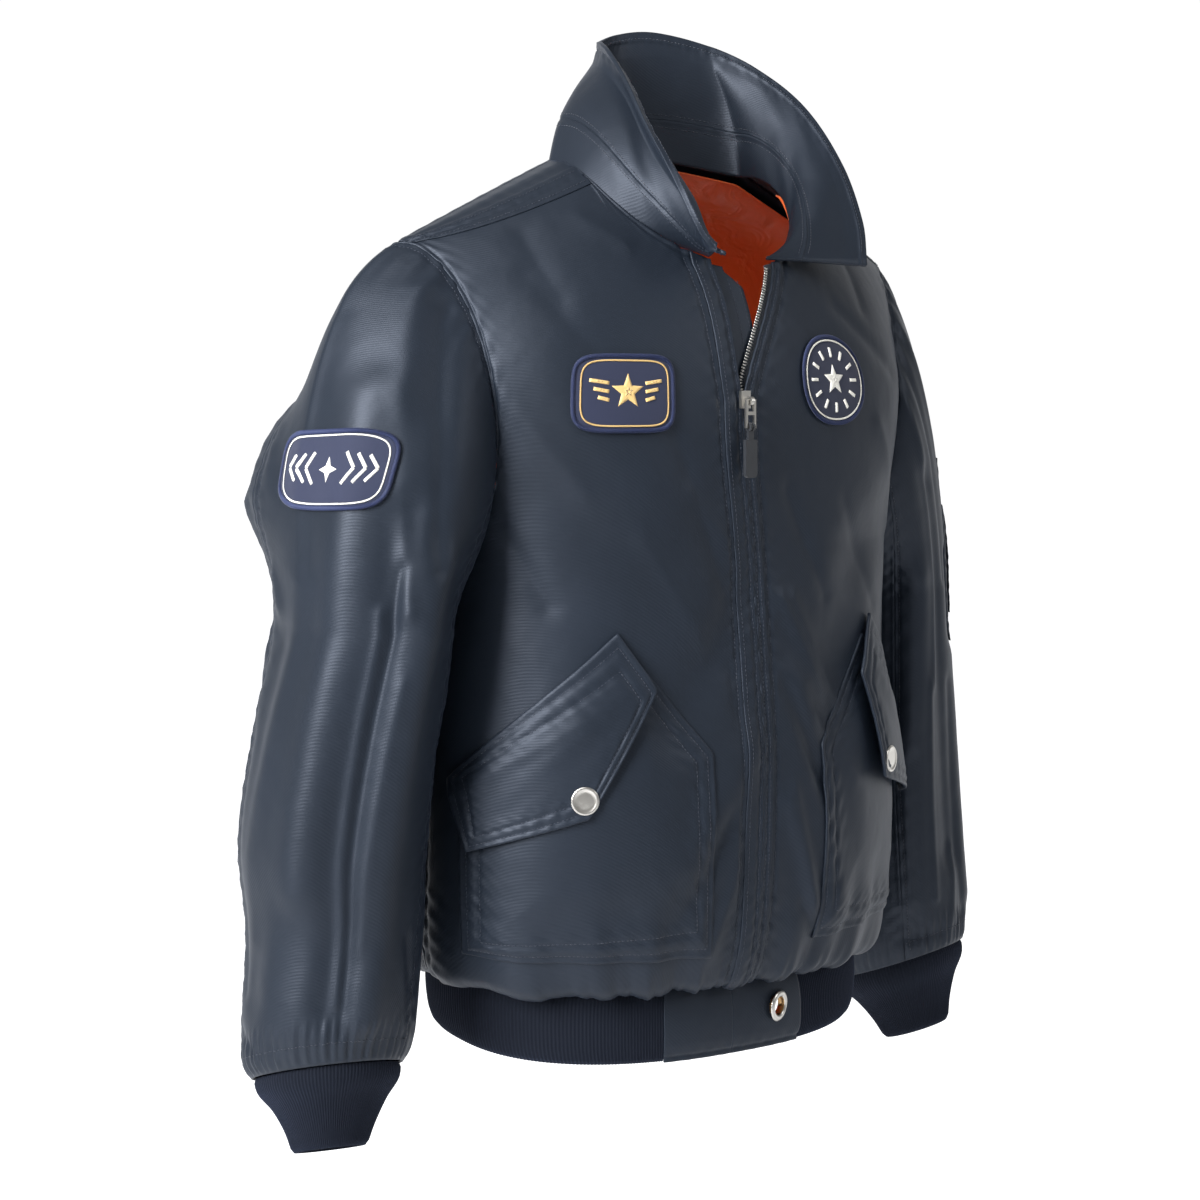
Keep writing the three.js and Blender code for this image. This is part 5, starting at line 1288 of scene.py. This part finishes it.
def row_frames(path, lifted, pitch):
    """Evenly spaced places on a path, with the directions along, across and up from it."""
    lengths = np.concatenate([[0], np.cumsum(np.linalg.norm(np.diff(path, axis=0), axis=1))])
    at = np.arange(pitch / 2, lengths[-1], pitch)
    place = np.stack([np.interp(at, lengths, path[:, k]) for k in range(3)], axis=-1)
    ahead = np.stack([np.interp(at + 0.6, lengths, path[:, k]) for k in range(3)], axis=-1)
    behind = np.stack([np.interp(at - 0.6, lengths, path[:, k]) for k in range(3)], axis=-1)
    above = np.stack([np.interp(at, lengths, lifted[:, k]) for k in range(3)], axis=-1)
    along = unit(ahead - behind + 1e-9)
    up = unit(above - place)
    return place, along, unit(np.cross(up, along))


STITCH_ROWS = []


def stitch_row(surface, a, b):
    """Keeps a row of stitches along a line (a, b) of a surface."""
    a, b = np.broadcast_arrays(np.asarray(a, float), np.asarray(b, float))
    STITCH_ROWS.append(row_frames(surface(a, b, 0.12), surface(a, b, 1.12), STITCH_PITCH))


def inset_line(edges_share, count=160):
    """A closed line inside the unit square, keeping the given distances from its four sides."""
    x, y = edges_share
    corners = np.array([(x, y), (1 - x, y), (1 - x, 1 - y), (x, 1 - y), (x, y)])
    t = np.linspace(0, 4, count)
    return np.interp(t, range(5), corners[:, 0]), np.interp(t, range(5), corners[:, 1])


def sew():
    """All rows of stitches that show, as threads lying in their grooves."""
    down = np.linspace(0.02, 1.97, 260)
    for side in (-1, 1):
        for face in (-1, 1):
            level = np.linspace(0.03, 1.0, 120)
            stitch_row(lambda a, b, rise: body_point(side, a, b, face, rise, 1.0),
                       np.full(level.shape, 1 - 5 / 215), level)
        stitch_row(lambda a, b, rise: body_point(side, a, b, -1, rise, 1.0),
                   np.full(down.shape, 4 / 230), down)
        wide = PLACKET[side]
        for inset in (3, wide - 3):
            stitch_row(lambda a, b, rise: edge_point(side, a, b, rise + 0.8, 1.0),
                       np.full(down.shape, float(inset)), down)
        shoulder = np.linspace(0.31, 0.97, 80)
        for level in (1.935, 1.965):
            stitch_row(lambda a, b, rise: band_point(side, a, b, rise),
                       shoulder, np.full(shoulder.shape, level))
        for inset in (5, 14):
            a, b = inset_line((inset / POCKET_WIDTH, inset / POCKET_HEIGHT), 420)
            stitch_row(lambda p, q, rise: bag_point(side, p, q, rise), a, b)
            a, b = inset_line((inset / FLAP_WIDTH, inset / FLAP_HEIGHT), 360)
            stitch_row(lambda p, q, rise: flap_point(side, p, q, rise), a, b)
        level = np.linspace(0.02, 1.97, 220)
        seams = (SLEEVE_SEAMS["back"], SLEEVE_SEAMS["front"])
        for angle in (seams[0] + 4, seams[1] - 4):
            stitch_row(lambda a, b, rise: sleeve_point(side, a, b, rise, seams),
                       np.full(level.shape, angle), level)
        turn = np.linspace(seams[0] + 2, seams[1] - 2, 150)
        for level in (0.018, 1.955):
            stitch_row(lambda a, b, rise: sleeve_point(side, a, b, rise, seams),
                       turn, np.full(turn.shape, level))
    u = np.linspace(-0.985, 0.985, 420)
    for w in (STAND_SHARE + 0.05, STAND_SHARE - 0.05, 0.945):
        stitch_row(lambda a, b, rise: collar_point(a, b, rise, 1.0), u, np.full(u.shape, w))
        stitch_row(lambda a, b, rise: collar_point(a, b, -rise - 3.0, 1.0), u, np.full(u.shape, w))
    for inset in (-22, -13, -4):
        level = np.linspace(1.3, 1.95, 90)
        stitch_row(lambda a, b, rise: edge_point(-1, a, b, rise - 5.4, 1.0),
                   np.full(level.shape, float(inset)), level)
    place, along, across = (np.concatenate([row[k] for row in STITCH_ROWS]) for k in range(3))
    return capsules("thread_topstitching", place, along, across, 2.3, 0.55, 0.45, THREAD)


def band_point(side, share, v, rise=0.0):
    """The narrow band sewn over the shoulder seam, just in front of it."""
    line = share * 230 * 1.2
    return body_point(side, share, v, -1, rise + 0.9 + puckers((v - 1.95) * 300, line, 9, 11, 0.12), 1.0)


def shoulder_band(side):
    return shell("shell_shoulder_band_" + ("right" if side < 0 else "left"),
                 lambda a, b, rise: band_point(side, a, b, rise),
                 np.linspace(0.29, 0.992, 160), np.linspace(1.925, 1.975, 12), 1.0, NYLON, "nylon_shell",
                 flip=side > 0)


def patch_outline(size, count):
    turn = np.linspace(0, 2 * np.pi, count, endpoint=False)
    power = 2 / size["power"]
    x = size["half_width"] * np.sign(np.cos(turn)) * np.abs(np.cos(turn)) ** power
    y = size["half_height"] * np.sign(np.sin(turn)) * np.abs(np.sin(turn)) ** power
    return np.stack([x, y], axis=-1)


def even_outline(outline, count):
    """The same closed line with points evenly spaced along it."""
    closed = np.concatenate([outline, outline[:1]])
    lengths = np.concatenate([[0], np.cumsum(np.linalg.norm(np.diff(closed, axis=0), axis=1))])
    at = np.linspace(0, lengths[-1], count, endpoint=False)
    return np.stack([np.interp(at, lengths, closed[:, k]) for k in range(2)], axis=-1)


def embroidered(name, cloth, outline, height, material, rings=5, base=2.4):
    """A raised filled shape of thread or twill on a cloth, from its outline in millimetres."""
    middle = outline.mean(axis=0)
    shares = np.linspace(0, 1, rings + 1)[1:]
    rows = [cloth(*middle, base + height)[None]]
    for share in shares:
        ring = middle + (outline - middle) * share
        rise = base + height * (1 - share**8)
        rows.append(cloth(ring[:, 0], ring[:, 1], np.full(len(ring), rise)))
    foot = cloth(outline[:, 0], outline[:, 1], np.full(len(outline), base - 1.2))
    rows.append(foot)
    count = len(outline)
    faces = [[0, 1 + k, 1 + (k + 1) % count] for k in range(count)]
    faces += grid_faces(len(rows) - 1, count, 1, False, ring=True)
    return new_object(name, np.concatenate(rows), faces, material)


def star(radius, points=5, inner=0.42, middle=(0, 0)):
    turn = np.linspace(np.pi / 2, np.pi / 2 + 2 * np.pi, 2 * points, endpoint=False)
    size = np.where(np.arange(2 * points) % 2 == 0, radius, radius * inner)
    corners = np.stack([np.cos(turn) * size, np.sin(turn) * size], axis=-1) + np.array(middle)
    return even_outline(corners, 60)


def bar(x0, y0, x1, y1, width):
    along = unit(np.array([x1 - x0, y1 - y0], float))
    side_way = np.array([-along[1], along[0]]) * width / 2
    start, end = np.array([x0, y0], float), np.array([x1, y1], float)
    corners = np.stack([start + side_way, start - side_way, end - side_way, end + side_way])
    return even_outline(corners, 40)


def ring_of_thread(name, cloth, outline, width, height, pitch, material, base):
    """A border wrapped in thread: short bars lying across the edge, side by side."""
    path = even_outline(outline, int(np.linalg.norm(np.diff(outline, axis=0), axis=1).sum() / pitch))
    after, before = np.roll(path, -1, axis=0), np.roll(path, 1, axis=0)
    along = unit(after - before)
    out = np.stack([along[:, 1], -along[:, 0]], axis=-1)
    here = cloth(path[:, 0], path[:, 1], np.full(len(path), base))
    above = cloth(path[:, 0], path[:, 1], np.full(len(path), base + 2.0))
    outer = cloth(path[:, 0] + out[:, 0], path[:, 1] + out[:, 1], np.full(len(path), base))
    lie = unit(outer - here)
    up = unit(above - here)
    return capsules(name, here, lie, unit(np.cross(up, lie)), width, pitch * 1.15, height, material)


def patch_set(name, cloth, size, motifs, inner_thread, inner_share):
    """A sewn-on patch: twill base, merrowed border, an inner thread line and its motifs."""
    outline = even_outline(patch_outline(size, 240), 160)
    base = embroidered("patch_" + name + "_twill", cloth, outline, 0.5, PATCH, rings=14, base=1.9)
    made = [ring_of_thread("patch_" + name + "_border", cloth, outline * 0.985, 3.4, 2.0, 0.62, BORDER, 2.3)]
    made.append(ring_of_thread("patch_" + name + "_line", cloth, outline * inner_share, 1.3, 0.8, 0.5,
                               inner_thread, 2.7))
    for k, (outline_2d, material) in enumerate(motifs):
        made.append(embroidered(f"patch_{name}_motif_{k}", cloth, outline_2d, 0.8, material, base=2.4))
    return base, made


def patches():
    right = [(star(13, middle=(0, 1)), GOLD)]
    for sign in (-1, 1):
        for k in range(3):
            right.append((bar(sign * 14, 7 - 6 * k, sign * (28 - 3 * k), 9 - 6 * k, 2.6), GOLD))
    left = [(star(12, inner=0.45), WHITE)]
    for k in range(12):
        turn = 2 * np.pi * k / 12
        x, y = math.sin(turn), math.cos(turn)
        left.append((bar(19 * x, 17 * y, 27 * x, 24.5 * y, 2.4), WHITE))
    sleeve = [(star(9, points=4, inner=0.4, middle=(0, 0)), WHITE)]
    for sign in (-1, 1):
        for k in range(3):
            x = 15 + 9 * k
            sleeve.append((bar(sign * x, -10 + k, sign * (x + 8), 1, 2.4), WHITE))
            sleeve.append((bar(sign * x, 12 - k, sign * (x + 8), 1, 2.4), WHITE))
    return {
        "patch_chest_right": patch_set("chest_right", chest_cloth(-1), CHEST_PATCHES[-1], right, GOLD, 0.86),
        "patch_chest_left": patch_set("chest_left", chest_cloth(1), CHEST_PATCHES[1], left, WHITE, 0.9),
        "patch_sleeve": patch_set("sleeve", sleeve_cloth(-1, SLEEVE_PATCH), SLEEVE_PATCH, sleeve,
                                 WHITE, 0.88),
    }


def sleeve_pockets():
    """The zipped pocket on the left sleeve with its slanting zip, and the pen pocket over it."""
    cloth = sleeve_cloth(1, SLEEVE_POCKET)

    def pocket(x, y, rise):
        edge = np.minimum(SLEEVE_POCKET["half_width"] - np.abs(x), SLEEVE_POCKET["half_height"] - np.abs(y))
        detail = puckers(edge - 5, x + y, 7, 9, 0.5) + 0.7 * crumple(x, y, 24) * smooth(edge / 20)
        return cloth(x, y, rise + 2.4 + pocket_swell(x, y) + detail)

    def pen(x, y, rise):
        edge = PEN_POCKET["half_width"] - np.abs(x - PEN_POCKET["x"])
        return cloth(x, y, rise + 5 + pocket_swell(x, y) + puckers(edge - 4, y, 6, 9, 0.4))

    w, h = SLEEVE_POCKET["half_width"], SLEEVE_POCKET["half_height"]
    bag = shell("shell_sleeve_pocket_bag", pocket, np.linspace(-w, w, 70), np.linspace(-h, h, 80), 1.2,
                NYLON, "nylon_shell", flip=True)
    x, y, half, tall = PEN_POCKET["x"], PEN_POCKET["z"], PEN_POCKET["half_width"], PEN_POCKET["half_height"]
    strip_made = shell("shell_pen_pocket_bag", pen, np.linspace(x - half, x + half, 30),
                       np.linspace(y - tall, y + tall, 90), 1.2, NYLON, "nylon_shell", flip=True)
    t = np.linspace(0, 1, 60)
    path = pocket(mix(-34, 30, t), mix(34, -30, t), 0.5)
    lifted = pocket(mix(-34, 30, t), mix(34, -30, t), 1.5)
    place, along, across = row_frames(path, lifted, 1.9)
    capsules("metal_sleeve_zip_teeth", place, across, -along, 4.2, 1.1, 1.2, NICKEL)
    return bag, strip_made


def zip_teeth():
    """The open half of the main zip: teeth along the edge of the left tape."""
    level = np.linspace(1.5, 1.985, 200)
    z = body_form(1, np.zeros_like(level), level, -1, 0.0)[..., 2]
    edge = SEAM / 2 - np.clip(2 * edge_gap(z) - 1.5, 0, ZIP_TAPE_SHOWN) + 1.2
    path, lifted = edge_point(1, edge, level, -2.4), edge_point(1, edge, level, -1.4)
    place, along, across = row_frames(path, lifted, TOOTH_PITCH)
    return capsules("metal_zip_teeth", place, across, -along, 4.0, 1.3, 2.2, NICKEL)


def eyelet():
    angle = hem_angle(float(zip_x(-630)) + EYELET_X + SEAM)
    place = hem_point(np.array(angle), np.array(EYELET_W), 0.5)
    facing = hem_point(np.array(angle), np.array(EYELET_W), 4.5) - place
    flange = [(6.9, 1.0), (7.3, 1.9), (8.2, 2.4), (9.4, 2.5), (10.6, 2.2),
              (11.5, 1.5), (11.8, 0.9), (11.2, 0.6)]
    barrel = [(7.0, 1.6), (6.6, 0.8), (6.5, -1.5), (6.5, -3.8), (7.2, -4.3), (10.6, -4.2), (11.0, -3.8)]
    ring = lathe("metal_eyelet_flange", flange, place, facing, NICKEL, 64)
    tube = lathe("metal_eyelet_barrel", barrel, place, facing, BRASS, 64)
    return ring, tube, place


EYELETS = eyelet()
PANELS = {
    "front_right": front_panel(-1),
    "front_left": front_panel(1),
    "back": back_panel(),
    "sleeve_upper_right": sleeve_piece(-1, "sleeve_upper", -36, 128),
    "sleeve_under_right": sleeve_piece(-1, "sleeve_under", 128, 324),
    "sleeve_upper_left": sleeve_piece(1, "sleeve_upper", -36, 128),
    "sleeve_under_left": sleeve_piece(1, "sleeve_under", 128, 324),
    "cuff_right": cuff(-1),
    "cuff_left": cuff(1),
    "hem_rib": hem_rib(),
    "hem_tab_right": hem_tab(-1),
    "hem_tab_left": hem_tab(1),
}
for cad_node, made in zip(
        ("placket_right", "placket_left", "zip_tape_right", "zip_tape_left", "wind_flap"), front_strips()):
    PANELS[cad_node] = made
for cad_node, made in zip(("collar_stand", "collar_leaf"), collar_pieces()):
    PANELS[cad_node] = made
for cad_node, made in zip(("lining_right", "lining_left", "lining_back"), lining_pieces()):
    PANELS[cad_node] = made
for side, name in ((-1, "right"), (1, "left")):
    PANELS["pocket_" + name], PANELS["flap_" + name] = hand_pocket(side)
    PANELS["snap_" + name] = snap_cap(side)
    shoulder_band(side)
PATCHES = patches()
for cad_node, (base, extras) in PATCHES.items():
    PANELS[cad_node] = base
PANELS["sleeve_pocket"], PANELS["pen_pocket"] = sleeve_pockets()
PANELS["grommet"] = EYELETS[0]
zip_teeth()
sew()
for cad_node, made in PANELS.items():
    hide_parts(cad_node)

for cad_node, finish in (("zip_slider", NICKEL), ("pull_link", NICKEL), ("pull_tab", RUBBER)):
    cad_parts[cad_node].data.materials.clear()
    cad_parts[cad_node].data.materials.append(finish)

# Camera, level and shifted down, at the photograph's angle
camera_data = bpy.data.cameras.new("camera")
camera_data.sensor_width = 36
camera_data.lens = 72
camera_data.shift_y = -0.158
camera_data.clip_end = 100
camera = bpy.data.objects.new("camera", camera_data)
camera.location = (-1.1665, -1.4752, -0.190)
camera.rotation_euler = (math.radians(90), 0, math.radians(-37))
bpy.context.scene.collection.objects.link(camera)
bpy.context.scene.camera = camera

# Studio: pale paper floor that glows white by emission (painted light) from behind the jacket to the wall
# that the camera faces, and is plain paper nearer the camera
TOWARDS_WALL = (0.602, 0.799, 0.0)
floor_mesh = bpy.data.meshes.new("floor")
FLOOR_HALF = 30
FLOOR_LEVEL = -1.25
floor_corners = [(x * FLOOR_HALF, y * FLOOR_HALF, FLOOR_LEVEL)
                 for x, y in ((-1, -1), (1, -1), (1, 1), (-1, 1))]
floor_mesh.from_pydata(floor_corners, [], [(0, 1, 2, 3)])
floor = bpy.data.objects.new("floor", floor_mesh)
floor_material, floor_tree, floor_shader = surface_material("studio_paper_white", "#e9eaec", 0.9)
floor_shader.inputs["Emission Color"].default_value = linear("#ffffff")
floor_place = node(floor_tree, "ShaderNodeTexCoord")
away_from_camera = node(floor_tree, "ShaderNodeVectorMath", {0: floor_place.outputs["Object"]},
                        operation="DOT_PRODUCT")
away_from_camera.inputs[1].default_value = TOWARDS_WALL
# Painted light: the floor's emission rises from none to 0.8 with distance past the jacket towards the wall
glow = node(floor_tree, "ShaderNodeMapRange", {"Value": away_from_camera.outputs["Value"], "From Min": 0.5,
                                               "From Max": 1.1, "To Min": 0.0, "To Max": 0.8})
floor_tree.links.new(glow.outputs["Result"], floor_shader.inputs["Emission Strength"])
floor_mesh.materials.append(floor_material)
bpy.context.scene.collection.objects.link(floor)

# White wall behind the jacket, dimmer room on the camera's side
world = bpy.data.worlds.new("studio")
world.use_nodes = True
room = world.node_tree
direction = node(room, "ShaderNodeTexCoord")
facing_wall = node(room, "ShaderNodeVectorMath", {0: direction.outputs["Generated"]},
                   operation="DOT_PRODUCT")
facing_wall.inputs[1].default_value = TOWARDS_WALL
level = node(room, "ShaderNodeMapRange", {"Value": facing_wall.outputs["Value"], "From Min": 0.55,
                                          "From Max": 0.88, "To Min": 0.26, "To Max": 1.02})
room.links.new(level.outputs["Result"], room.nodes["Background"].inputs["Strength"])
room.nodes["Background"].inputs["Color"].default_value = linear("#ffffff")
bpy.context.scene.world = world
bpy.context.scene.view_settings.view_transform = "Standard"


def area_light(name, place, target, size, power):
    light = bpy.data.lights.new(name, "AREA")
    light.shape = "RECTANGLE"
    light.size, light.size_y = size
    light.energy = power
    made = bpy.data.objects.new(name, light)
    made.location = place
    direction = np.array(target) - np.array(place)
    flat = math.hypot(direction[0], direction[1])
    made.rotation_euler = (math.atan2(flat, -direction[2]), 0, math.atan2(-direction[0], direction[1]))
    bpy.context.scene.collection.objects.link(made)


area_light("key_left", (-2.5, -0.55, 0.75), (-0.25, 0, -0.3), (1.0, 1.8), 170)
area_light("top_left", (-1.3, -0.9, 2.2), (-0.1, 0, -0.1), (1.2, 1.2), 26)
area_light("front_fill", (1.5, -2.3, 1.0), (0.1, 0, -0.2), (1.0, 1.2), 15)
